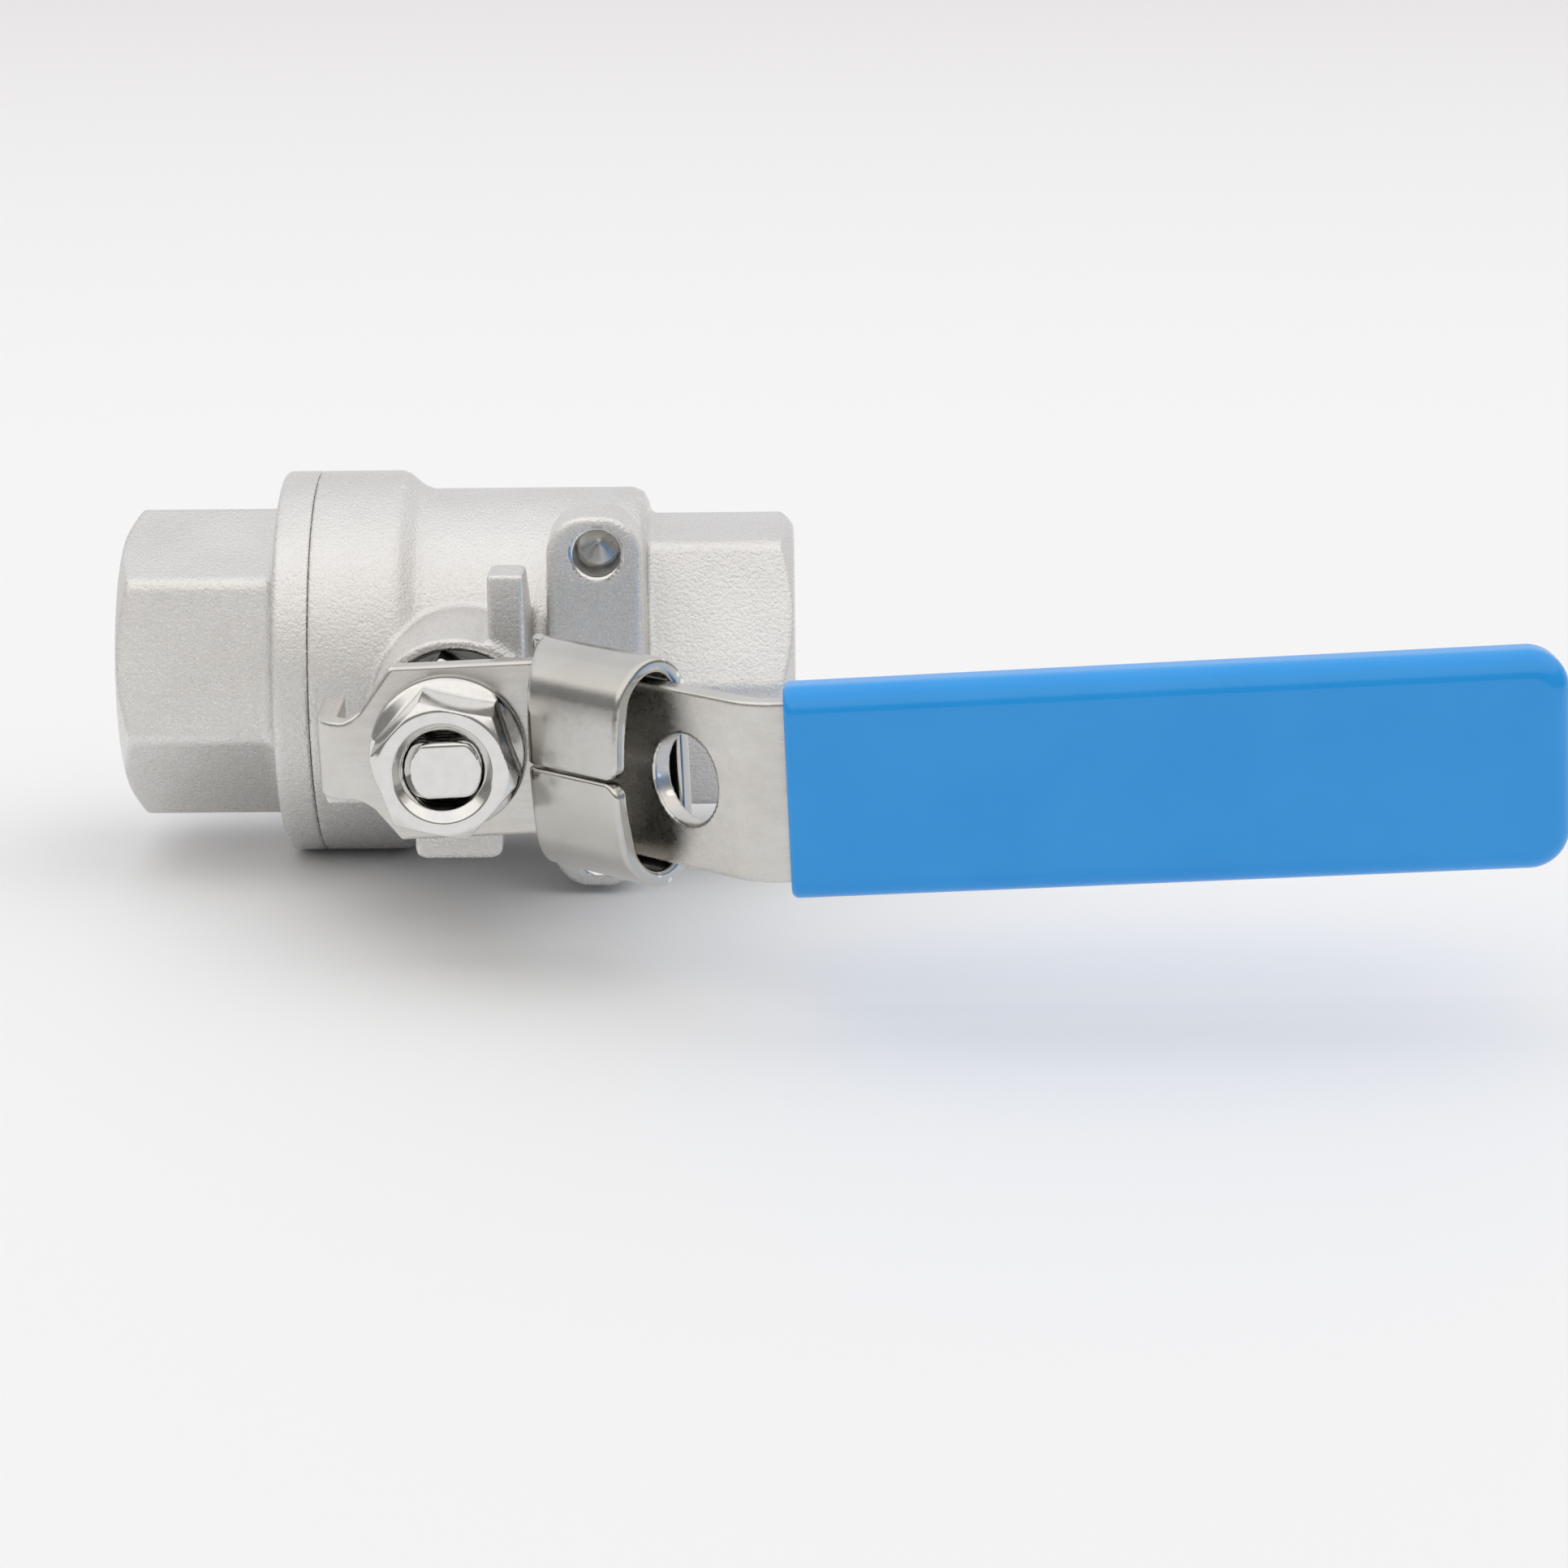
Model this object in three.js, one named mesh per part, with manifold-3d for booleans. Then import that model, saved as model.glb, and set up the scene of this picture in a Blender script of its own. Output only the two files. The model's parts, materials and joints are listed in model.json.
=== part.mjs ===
// Two-piece threaded ball valve with a lockable lever, as a group of named solids.
// Millimetres. +X runs along the pipe towards the grip, +Z up the stem, origin at the centre of the ball.
import * as THREE from 'three';
import { mergeVertices } from 'three/addons/utils/BufferGeometryUtils.js';
import Module from 'manifold-3d';

const wasm = await Module();
wasm.setup();

// ---- Driving dimensions -------------------------------------------------------------------------
const FACE_TO_FACE = 90.6;
const CAP_END_X = -46.8;
const BODY_END_X = CAP_END_X + FACE_TO_FACE;
const GAP = 0.3; // between pieces that touch
const REST_ANGLE = THREE.MathUtils.degToRad(2.2); // the lever against its open stop

// Wrenching hexagons and the cast barrel
const HEX_FLATS = 36.6;
const HEX_EDGE_RADIUS = 2.5;
const HEX_END_RADIUS = 17.6;
const CAP_HEX_CORNER = THREE.MathUtils.degToRad(77);
const HEX_CHAMFER_SLOPE = Math.tan(Math.PI / 6);
const FLANGE_RADIUS = 25.85;
const BARREL_RADIUS = 23.35;
const SHOULDER_X = 24.06;
const SEAM_X = -20.5;
const CAP_FLANGE_LENGTH = 4.7;

// Bores
const PORT_RADIUS = 12.6;
const PIPE_THREAD_RADIUS = 15.2;
const PIPE_THREAD_LENGTH = 18;
const PIPE_MOUTH_RADIUS = 16.7;
const SEAT_POCKET_RADIUS = 18.5;
const CAVITY_RADIUS = 20.2;
const CAP_SHANK_RADIUS = 22.3;
const CAP_SHANK_END_X = -12.7;
const CAVITY_STEP_X = -11;

// Ball and seats
const BALL_RADIUS = 19;
const BALL_BORE_RADIUS = 12.5;
const SLOT_WIDTH = 7;
const SLOT_FLOOR_Z = 15.1;
const SEAT_INNER_X = 10.1;
const SEAT_OUTER_X = 17.7;
const SEAT_RADIUS = 18.2;

// Stem, boss and packing
const STEM_RADIUS = 6;
const STEM_SHOULDER_Z = 49;
const STEM_TOP_Z = 61.7;
const THREAD_RADIUS = 4.95;
const STEM_FLATS = 7.4;
const BOSS_RADIUS = 11.7;
const BOSS_TOP_Z = 39.5;
const RECESS_RADIUS = 10.4;
const RECESS_FLOOR_Z = 32.7;
const PACKING_RADIUS = 9;
const PACKING_FLOOR_Z = 26;
const PACKING_RING_HEIGHT = 1.5;

// Lever: a bent strip, level over the nut, then inclined, then level under the grip
const SHEET = 2.8;
const PLATE_Z = 50.6; // middle of the sheet over the boss
const GRIP_Z = 78.6; // middle of the sheet under the grip
const LOWER_BEND_X = 12.1;
const UPPER_BEND_X = 38.98;
const LEG_X = -15.5;
const LEG_FOOT_Z = 37;
const LEVER_END_X = 133;
const LEVER_HALF_WIDTH = 11.2;
const LEVER_END_HALF_WIDTH = 11.5;
const ARM_SIDES = [-5.8, 4.3];
const BEND_RADIUS = 3.9; // to the middle of the sheet
const GRIP_BEND_RADIUS = 7.5;
const LOCK_HOLE_RADIUS = 5.65;
const LOCK_HOLE_ALONG = 26.9;

// Lock slide: a flattened ring of sheet round the inclined part of the lever
const SLIDE_WALL = 2;
const SLIDE_HALF_WIDTH = 14.4;
const SLIDE_HALF_THICKNESS = 5.4;
const SLIDE_CENTRE = 0.4; // behind the front face of the lever
const SLIDE_CROWN = 0.8; // how far the front wall bulges
const SLIDE_TOP_ALONG = 21.8;
const SLIDE_FOOT_Z = 46.1;
const SLIDE_SLIT = 0.5;
const SLIDE_NOTCH_HALF_WIDTH = 6.6;
const SLIDE_SIDE_X = 11.3; // the side walls start here, below SLIDE_SIDE_TOP_Z
const SLIDE_SIDE_TOP_Z = 56;

// Vinyl grip
const GRIP_START_X = 42.5;
const GRIP_END_X = 136;
const GRIP_HEIGHT = 8.4;
const GRIP_HALF_WIDTH = 13.1;
const GRIP_END_HALF_WIDTH = 13.5;
const GRIP_ROUNDING = 3.2;

// Lever nut
const NUT_FLATS = 16;
const NUT_FOOT_Z = 52.3;
const NUT_TOP_Z = 62.7;
const NUT_FLANGE_RADIUS = 9.85;

// Lugs on the body
const EAR_X = [11.4, 23.8];
const EAR_REACH = 24.9;
const EAR_TOP_Z = 27;
const EAR_FOOT_Z = 18;
const EAR_HOLE = { x: 18, y: 20, radius: 3, mouth: 3.45, floorZ: 20 };
const STOP_TOP_Z = 39;
const TAB_TOP_Z = 45.5;
const TAB_REACH = 15.9;
const TAB_HALF_WIDTH = 5.55;

const INCLINE = Math.atan2(GRIP_Z - PLATE_Z, UPPER_BEND_X - LOWER_BEND_X);
const ROUND = 48; // segments round a large turned piece
const SMALL_ROUND = 28; // segments round a small turned piece

// ---- Solids -------------------------------------------------------------------------------------
function toSolid(geometry) {
  const loose = geometry.index ? geometry.toNonIndexed() : geometry;
  const bare = new THREE.BufferGeometry().setAttribute('position', loose.getAttribute('position'));
  const merged = mergeVertices(bare, 1e-4);
  const index = merged.index.array;
  const triVerts = [];
  for (let i = 0; i < index.length; i += 3) {
    const [a, b, c] = [index[i], index[i + 1], index[i + 2]];
    if (a !== b && b !== c && c !== a) triVerts.push(a, b, c);
  }
  return new wasm.Manifold(
    new wasm.Mesh({
      numProp: 3,
      vertProperties: merged.attributes.position.array,
      triVerts: new Uint32Array(triVerts),
    }),
  );
}

function toGeometry(solid) {
  const { numProp, numVert, vertProperties, triVerts } = solid.getMesh();
  const positions = new Float32Array(numVert * 3);
  for (let i = 0; i < numVert; i++) {
    positions.set(vertProperties.subarray(i * numProp, i * numProp + 3), i * 3);
  }
  const geometry = new THREE.BufferGeometry();
  geometry.setAttribute('position', new THREE.BufferAttribute(positions, 3));
  geometry.setIndex(new THREE.BufferAttribute(triVerts, 1));
  geometry.computeVertexNormals();
  return geometry;
}

// Profiles are [radius, place along the axis] pairs with the place rising on the outside.
function turnedAboutZ(profile, segments = SMALL_ROUND) {
  const points = profile.map(([radius, along]) => new THREE.Vector2(radius, along));
  return toSolid(new THREE.LatheGeometry(points, segments).rotateX(Math.PI / 2));
}

function turnedAboutX(profile, segments = ROUND) {
  const points = profile.map(([radius, along]) => new THREE.Vector2(radius, along));
  return toSolid(new THREE.LatheGeometry(points, segments).rotateZ(-Math.PI / 2));
}

function ringAboutZ(inner, outer, low, high, segments = SMALL_ROUND) {
  return turnedAboutZ([[inner, low], [outer, low], [outer, high], [inner, high], [inner, low]], segments);
}

function rodAboutZ(radius, low, high, segments = SMALL_ROUND) {
  return turnedAboutZ([[0, low], [radius, low], [radius, high], [0, high]], segments);
}

function box([x0, x1], [y0, y1], [z0, z1]) {
  const geometry = new THREE.BoxGeometry(x1 - x0, y1 - y0, z1 - z0);
  return toSolid(geometry.translate((x0 + x1) / 2, (y0 + y1) / 2, (z0 + z1) / 2));
}

function uprightPrism(shape, low, high, curveSegments = 6) {
  const geometry = new THREE.ExtrudeGeometry(shape, {
    depth: high - low,
    bevelEnabled: false,
    curveSegments,
  });
  return toSolid(geometry.translate(0, 0, low));
}

// A hexagon with rounded corners, one of them at the angle given.
function hexagon(acrossFlats, cornerRadius, firstCorner) {
  const shape = new THREE.Shape();
  const centreRadius = (acrossFlats / 2 - cornerRadius) / Math.cos(Math.PI / 6);
  for (let i = 0; i < 6; i++) {
    const angle = firstCorner + (i * Math.PI) / 3;
    const [x, y] = [centreRadius * Math.cos(angle), centreRadius * Math.sin(angle)];
    shape.absarc(x, y, cornerRadius, angle - Math.PI / 6, angle + Math.PI / 6, false);
  }
  shape.closePath();
  return shape;
}

function roundedRectangle([x0, x1], [y0, y1], radius) {
  const shape = new THREE.Shape();
  shape.absarc(x1 - radius, y1 - radius, radius, 0, Math.PI / 2, false);
  shape.absarc(x0 + radius, y1 - radius, radius, Math.PI / 2, Math.PI, false);
  shape.absarc(x0 + radius, y0 + radius, radius, Math.PI, 1.5 * Math.PI, false);
  shape.absarc(x1 - radius, y0 + radius, radius, 1.5 * Math.PI, 2 * Math.PI, false);
  shape.closePath();
  return shape;
}

function polygon(points) {
  return new THREE.Shape(points.map(([x, y]) => new THREE.Vector2(x, y)));
}

// ---- Valve body and end cap ---------------------------------------------------------------------
// A hexagonal pipe end between two places along X; endSign tells which end carries the turned chamfer.
function pipeHexagon(low, high, endSign, firstCorner) {
  const length = high - low;
  const prism = new THREE.ExtrudeGeometry(hexagon(HEX_FLATS, HEX_EDGE_RADIUS, firstCorner), {
    depth: length,
    bevelEnabled: false,
    curveSegments: 3,
  });
  prism.rotateY(Math.PI / 2).translate(low, 0, 0);
  const outer = 24;
  const chamferLength = (outer - HEX_END_RADIUS) * HEX_CHAMFER_SLOPE;
  const chamfer =
    endSign > 0
      ? [[0, low - 1], [outer, low - 1], [outer, high - chamferLength], [HEX_END_RADIUS, high], [0, high]]
      : [[0, low], [HEX_END_RADIUS, low], [outer, low + chamferLength], [outer, high + 1], [0, high + 1]];
  return toSolid(prism).intersect(turnedAboutX(chamfer));
}

function makeEndCap() {
  const flangeX = SEAM_X - CAP_FLANGE_LENGTH;
  const threadEnd = CAP_END_X + PIPE_THREAD_LENGTH;
  const mouth = PIPE_MOUTH_RADIUS - PIPE_THREAD_RADIUS;
  const outside = turnedAboutX([
    [0, flangeX],
    [FLANGE_RADIUS - 1, flangeX],
    [FLANGE_RADIUS, flangeX + 1],
    [FLANGE_RADIUS, SEAM_X],
    [CAP_SHANK_RADIUS, SEAM_X],
    [CAP_SHANK_RADIUS, CAP_SHANK_END_X],
    [0, CAP_SHANK_END_X],
  ]);
  const inside = turnedAboutX([
    [0, CAP_END_X - 1],
    [PIPE_MOUTH_RADIUS + 1, CAP_END_X - 1],
    [PIPE_THREAD_RADIUS, CAP_END_X + mouth],
    [PIPE_THREAD_RADIUS, threadEnd],
    [PORT_RADIUS, threadEnd + 1.5],
    [PORT_RADIUS, -SEAT_OUTER_X - GAP],
    [SEAT_POCKET_RADIUS, -SEAT_OUTER_X - GAP],
    [SEAT_POCKET_RADIUS, CAP_SHANK_END_X + 1],
    [0, CAP_SHANK_END_X + 1],
  ]);
  return pipeHexagon(CAP_END_X, flangeX + 1, -1, CAP_HEX_CORNER).add(outside).subtract(inside);
}

// A finger cast on the side of the boss with a gusset beneath it. The gusset stands on an upright heel.
// The finger reaches along +X from the stem axis and is then turned to its direction in degrees.
function lug({ reach, across, top, tip, root, heel, corner, direction }) {
  const [heelOut, heelTop] = heel;
  const side = polygon([
    [6, top - root],
    [heelOut, top - root],
    [heelOut, heelTop],
    [reach, top - tip],
    [reach, top],
    [6, top],
  ]);
  const plan = uprightPrism(roundedRectangle([4, reach], across, corner), 10, top, 2);
  return sidewaysPrism(side, 20).intersect(plan).rotate([0, 0, direction]);
}

function makeBodyOutside() {
  const barrel = turnedAboutX([
    [0, SEAM_X + 0.35],
    [FLANGE_RADIUS, SEAM_X + 0.35],
    [FLANGE_RADIUS, -9.4],
    [FLANGE_RADIUS - 0.5, -8.4],
    [BARREL_RADIUS + 0.5, -6.6],
    [BARREL_RADIUS, -5.4],
    [BARREL_RADIUS, SHOULDER_X - 2.1],
    [BARREL_RADIUS - 0.6, SHOULDER_X - 0.7],
    [BARREL_RADIUS - 2, SHOULDER_X],
    [0, SHOULDER_X],
  ]);
  const boss = turnedAboutZ(
    [[0, 12], [BOSS_RADIUS, 12], [BOSS_RADIUS, BOSS_TOP_Z - 0.6], [BOSS_RADIUS - 0.6, BOSS_TOP_Z], [0, BOSS_TOP_Z]],
    ROUND,
  );
  const ears = uprightPrism(roundedRectangle(EAR_X, [-EAR_REACH, EAR_REACH], 5), EAR_FOOT_Z, EAR_TOP_Z, 5);
  const stop = { top: STOP_TOP_Z, tip: 7, root: 19, heel: [BOSS_RADIUS, STOP_TOP_Z - 18.5], corner: 0.8 };
  const across = [-TAB_HALF_WIDTH + 0.5, TAB_HALF_WIDTH + 0.5];
  const heel = [BOSS_RADIUS + 1.2, EAR_TOP_Z + 3];
  const tab = { top: TAB_TOP_Z, tip: 9, root: 22, heel, corner: 1.5, reach: TAB_REACH, across };
  const closedStop = lug({ ...stop, reach: 20, across: [-9.1, -4.4], direction: 90 });
  const openStop = lug({ ...stop, reach: 17.2, across: [6.9, 10.2], direction: 180 });
  const openTab = lug({ ...tab, direction: 0 });
  const closedTab = lug({ ...tab, direction: -90 });
  return pipeHexagon(SHOULDER_X - 1, BODY_END_X, 1, 0)
    .add(barrel)
    .add(boss)
    .add(ears)
    .add(closedStop)
    .add(openStop)
    .add(openTab)
    .add(closedTab);
}

function makeValveBody() {
  const threadEnd = BODY_END_X - PIPE_THREAD_LENGTH;
  const mouth = PIPE_MOUTH_RADIUS - PIPE_THREAD_RADIUS;
  const inside = turnedAboutX([
    [0, SEAM_X - 1],
    [CAP_SHANK_RADIUS + GAP, SEAM_X - 1],
    [CAP_SHANK_RADIUS + GAP, CAVITY_STEP_X],
    [CAVITY_RADIUS, CAVITY_STEP_X],
    [CAVITY_RADIUS, SEAT_INNER_X - GAP],
    [SEAT_POCKET_RADIUS, SEAT_INNER_X - GAP],
    [SEAT_POCKET_RADIUS, SEAT_OUTER_X + GAP],
    [PORT_RADIUS, SEAT_OUTER_X + GAP],
    [PORT_RADIUS, threadEnd - 1.5],
    [PIPE_THREAD_RADIUS, threadEnd],
    [PIPE_THREAD_RADIUS, BODY_END_X - mouth],
    [PIPE_MOUTH_RADIUS + 1, BODY_END_X + 1],
    [0, BODY_END_X + 1],
  ]);
  const stemBore = turnedAboutZ([
    [0, 10],
    [8.7, 10],
    [8.7, 22.5],
    [STEM_RADIUS + 0.4, 22.5],
    [STEM_RADIUS + 0.4, PACKING_FLOOR_Z],
    [PACKING_RADIUS, PACKING_FLOOR_Z],
    [PACKING_RADIUS, RECESS_FLOOR_Z],
    [RECESS_RADIUS, RECESS_FLOOR_Z],
    [RECESS_RADIUS, TAB_TOP_Z + 1],
    [0, TAB_TOP_Z + 1],
  ]);
  let body = makeBodyOutside().subtract(inside).subtract(stemBore);
  for (const side of [-1, 1]) {
    const { x, y, radius, mouth, floorZ } = EAR_HOLE;
    const hole = turnedAboutZ([
      [0, floorZ - radius * HEX_CHAMFER_SLOPE],
      [radius, floorZ],
      [radius, EAR_TOP_Z - (mouth - radius)],
      [mouth + 1, EAR_TOP_Z + 1],
      [0, EAR_TOP_Z + 1],
    ], 20);
    body = body.subtract(hole.translate([x, side * y, 0]));
  }
  return body;
}

// ---- Ball, seats and seals ----------------------------------------------------------------------
function makeBall() {
  const sphere = toSolid(new THREE.SphereGeometry(BALL_RADIUS, 36, 22).rotateX(Math.PI / 2));
  const bore = turnedAboutX([[0, -20], [BALL_BORE_RADIUS, -20], [BALL_BORE_RADIUS, 20], [0, 20]]);
  const slot = box([-SLOT_WIDTH / 2, SLOT_WIDTH / 2], [-13, 13], [SLOT_FLOOR_Z, 20]);
  const vent = rodAboutZ(1.25, 0, 20, 12);
  return sphere.subtract(bore).subtract(slot).subtract(vent);
}

// A ring whose inner face follows the ball with running clearance.
function makeSeat(side) {
  const reach = BALL_RADIUS + 0.35;
  const outerContact = Math.acos(SEAT_INNER_X / reach);
  const innerContact = Math.asin((PORT_RADIUS + 0.1) / reach);
  const steps = 4;
  const profile = [];
  for (let i = 0; i <= steps; i++) {
    const angle = innerContact + ((outerContact - innerContact) * i) / steps;
    profile.push([reach * Math.sin(angle), -reach * Math.cos(angle)]);
  }
  profile.push([SEAT_RADIUS, -SEAT_INNER_X]);
  profile.push([SEAT_RADIUS, -SEAT_OUTER_X]);
  profile.push([PORT_RADIUS + 0.1, -SEAT_OUTER_X]);
  profile.push(profile[0]);
  const ring = turnedAboutX(profile.reverse());
  return side < 0 ? ring : ring.rotate([0, 0, 180]);
}

function makeBodyGasket() {
  const [low, high] = [CAP_SHANK_END_X + GAP, CAVITY_STEP_X - GAP];
  const [inner, outer] = [CAVITY_RADIUS + 0.3, CAP_SHANK_RADIUS];
  return turnedAboutX([[inner, low], [outer, low], [outer, high], [inner, high], [inner, low]]);
}

// A chevron packing ring: its inner and outer lips point down.
function makePackingRing(index) {
  const low = PACKING_FLOOR_Z + GAP + index * (PACKING_RING_HEIGHT + GAP);
  const high = low + PACKING_RING_HEIGHT;
  const [inner, outer] = [STEM_RADIUS + 0.3, PACKING_RADIUS - 0.3];
  const middle = (inner + outer) / 2;
  const rise = 0.25;
  return turnedAboutZ([
    [inner, low],
    [middle, low + rise],
    [outer, low],
    [outer, high - rise],
    [middle, high],
    [inner, high - rise],
    [inner, low],
  ]);
}

function makeStemORing() {
  const profile = [];
  const steps = 8;
  for (let i = 0; i < steps; i++) {
    const angle = (2 * Math.PI * i) / steps;
    profile.push([5.5 + 0.6 * Math.cos(angle), 24.1 + 0.6 * Math.sin(angle)]);
  }
  profile.push(profile[0]);
  return turnedAboutZ(profile);
}

function makeGlandRing() {
  const [inner, foot, collar, top] = [STEM_RADIUS + 0.3, 31.7, 33, 34];
  return turnedAboutZ([
    [inner, foot],
    [PACKING_RADIUS - 0.3, foot],
    [PACKING_RADIUS - 0.3, collar],
    [9.6, collar],
    [9.6, top],
    [inner, top],
    [inner, foot],
  ]);
}

function makeDiscSpring(low) {
  const [inner, outer] = [STEM_RADIUS + 0.5, 9.4];
  const [thickness, rise] = [0.6, 0.5];
  return turnedAboutZ([
    [inner, low + rise],
    [outer, low],
    [outer, low + thickness],
    [inner, low + rise + thickness],
    [inner, low + rise],
  ]);
}

// ---- Stem and nuts ------------------------------------------------------------------------------
function makeStem() {
  const shaft = turnedAboutZ([
    [0, 15.4],
    [7.2, 15.4],
    [8.4, 19.4],
    [8.4, 21],
    [STEM_RADIUS, 21],
    [STEM_RADIUS, 23.2],
    [4.6, 23.2],
    [4.6, 25],
    [STEM_RADIUS, 25],
    [STEM_RADIUS, STEM_SHOULDER_Z],
    [THREAD_RADIUS, STEM_SHOULDER_Z],
    [THREAD_RADIUS, STEM_TOP_Z - 0.7],
    [THREAD_RADIUS - 0.7, STEM_TOP_Z],
    [0, STEM_TOP_Z],
  ]);
  const tangHalf = SLOT_WIDTH / 2 - GAP;
  let stem = shaft;
  for (const side of [-1, 1]) {
    const beside = [side * tangHalf, side * 12].sort((a, b) => a - b);
    const behind = [(side * STEM_FLATS) / 2, side * 12].sort((a, b) => a - b);
    stem = stem.subtract(box(beside, [-12, 12], [12, 19.4]));
    stem = stem.subtract(box([-12, 12], behind, [STEM_SHOULDER_Z, STEM_TOP_Z + 1]));
  }
  return stem;
}

function makeHexNut(acrossFlats, boreRadius, low, high, firstCorner, mouthRadius) {
  const outer = acrossFlats / 2 + 2;
  const crown = acrossFlats / 2 - 0.25;
  const crownDrop = (outer - crown) * HEX_CHAMFER_SLOPE;
  const prism = uprightPrism(hexagon(acrossFlats, 0.3, firstCorner), low, high, 1);
  const envelope = turnedAboutZ([[0, low], [outer, low], [outer, high - crownDrop], [crown, high], [0, high]]);
  const bore = turnedAboutZ([
    [0, low - 1],
    [boreRadius, low - 1],
    [boreRadius, high - (mouthRadius - boreRadius)],
    [mouthRadius + 1, high + 1],
    [0, high + 1],
  ]);
  return { body: prism.intersect(envelope), bore };
}

function makeGlandNut() {
  const nut = makeHexNut(17, STEM_RADIUS + 0.3, 36.5, 42.5, THREE.MathUtils.degToRad(97), 7.1);
  return nut.body.subtract(nut.bore);
}

function makeLeverNut() {
  const corner = THREE.MathUtils.degToRad(47.5 - 2.2);
  const nut = makeHexNut(NUT_FLATS, THREAD_RADIUS + 0.3, NUT_FOOT_Z, NUT_TOP_Z, corner, 6.1);
  const flange = turnedAboutZ([
    [0, NUT_FOOT_Z],
    [NUT_FLANGE_RADIUS, NUT_FOOT_Z],
    [NUT_FLANGE_RADIUS, NUT_FOOT_Z + 1.3],
    [7.6, NUT_FOOT_Z + 2.2],
    [0, NUT_FOOT_Z + 2.2],
  ]);
  return nut.body.add(flange).subtract(nut.bore);
}

// ---- Lever, lock slide and grip -----------------------------------------------------------------
// Points along the middle of the bent strip, each with the direction of the strip there. Corners are
// [x, z, bend radius].
function stripPath(corners, steps = 6) {
  const path = [];
  for (let i = 0; i < corners.length; i++) {
    const [x, z, radius] = corners[i];
    const here = new THREE.Vector2(x, z);
    const before = i > 0 ? new THREE.Vector2(corners[i - 1][0], corners[i - 1][1]) : null;
    const after = i < corners.length - 1 ? new THREE.Vector2(corners[i + 1][0], corners[i + 1][1]) : null;
    const arriving = before ? here.clone().sub(before).angle() : after.clone().sub(here).angle();
    const leaving = after ? after.clone().sub(here).angle() : arriving;
    if (!before || !after) {
      path.push({ point: here, heading: leaving });
      continue;
    }
    const turn = Math.atan2(Math.sin(leaving - arriving), Math.cos(leaving - arriving));
    const inset = radius * Math.tan(Math.abs(turn) / 2);
    const start = here.clone().sub(new THREE.Vector2(Math.cos(arriving), Math.sin(arriving)).multiplyScalar(inset));
    const side = Math.sign(turn);
    const centre = start.clone().add(
      new THREE.Vector2(-Math.sin(arriving), Math.cos(arriving)).multiplyScalar(side * radius),
    );
    for (let k = 0; k <= steps; k++) {
      const heading = arriving + (turn * k) / steps;
      const spoke = new THREE.Vector2(Math.sin(heading), -Math.cos(heading)).multiplyScalar(side * radius);
      path.push({ point: centre.clone().add(spoke), heading });
    }
  }
  return path;
}

function stripSideView() {
  const path = stripPath([
    [LEG_X, LEG_FOOT_Z, 0],
    [LEG_X, PLATE_Z, BEND_RADIUS],
    [LOWER_BEND_X, PLATE_Z, BEND_RADIUS],
    [UPPER_BEND_X, GRIP_Z, GRIP_BEND_RADIUS],
    [LEVER_END_X, GRIP_Z, 0],
  ]);
  const edge = (sign) =>
    path.map(({ point, heading }) => [
      point.x - (sign * Math.sin(heading) * SHEET) / 2,
      point.y + (sign * Math.cos(heading) * SHEET) / 2,
    ]);
  return polygon([...edge(-1), ...edge(1).reverse()]);
}

// A shape drawn in the X-Z plane, made solid between two places along Y.
function sidewaysPrism(shape, halfWidth) {
  const geometry = new THREE.ExtrudeGeometry(shape, { depth: 2 * halfWidth, bevelEnabled: false, curveSegments: 6 });
  return toSolid(geometry.rotateX(Math.PI / 2).translate(0, halfWidth, 0));
}

function leverOutline(clearance = 0) {
  const end = LEVER_END_X + clearance;
  const halfWidth = LEVER_HALF_WIDTH + clearance;
  const endHalfWidth = LEVER_END_HALF_WIDTH + clearance;
  const corner = 4;
  const half = (armHalfWidth) => [
    [-18, armHalfWidth],
    [-12.3, armHalfWidth],
    [-11.2, armHalfWidth + 0.6],
    [-7.3, halfWidth - 0.8],
    [-6.4, halfWidth],
    [40, halfWidth],
    [end - corner, endHalfWidth],
    [end - 1.2, endHalfWidth - 1.2],
    [end, endHalfWidth - corner],
  ];
  const [low, high] = ARM_SIDES;
  return polygon([...half(-low).map(([x, y]) => [x, -y]), ...half(high).reverse()]);
}

// Places a solid drawn along +Z onto the incline: its Z runs up the incline, its X looks away from the front.
function ontoIncline(solid) {
  const frontX = LOWER_BEND_X + (SHEET / 2) * (1 / Math.tan(INCLINE) - 1 / Math.sin(INCLINE));
  const tilt = 90 - THREE.MathUtils.radToDeg(INCLINE);
  return solid.rotate([0, tilt, 0]).translate([frontX, 0, PLATE_Z + SHEET / 2]);
}

function makeLever() {
  const blank = sidewaysPrism(stripSideView(), 20).intersect(uprightPrism(leverOutline(), 30, 90));
  const stemHole = rodAboutZ(THREAD_RADIUS + 0.35, 40, 60).intersect(
    box([-12, 12], [-STEM_FLATS / 2 - GAP, STEM_FLATS / 2 + GAP], [40, 60]),
  );
  const across = rodAboutZ(LOCK_HOLE_RADIUS, -8, 8, 40).rotate([0, 90, 0]).translate([0, 0, LOCK_HOLE_ALONG]);
  return blank.subtract(stemHole).subtract(ontoIncline(across));
}

// A flattened ring section, round at both ends, whose front side is crowned.
function slideSection(halfWidth, halfThickness) {
  const shape = new THREE.Shape();
  const straight = halfWidth - halfThickness;
  shape.absarc(0, straight, halfThickness, 0, Math.PI, false);
  shape.quadraticCurveTo(-halfThickness - 2 * SLIDE_CROWN, 0, -halfThickness, -straight);
  shape.absarc(0, -straight, halfThickness, Math.PI, 2 * Math.PI, false);
  shape.closePath();
  return shape;
}

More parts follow.
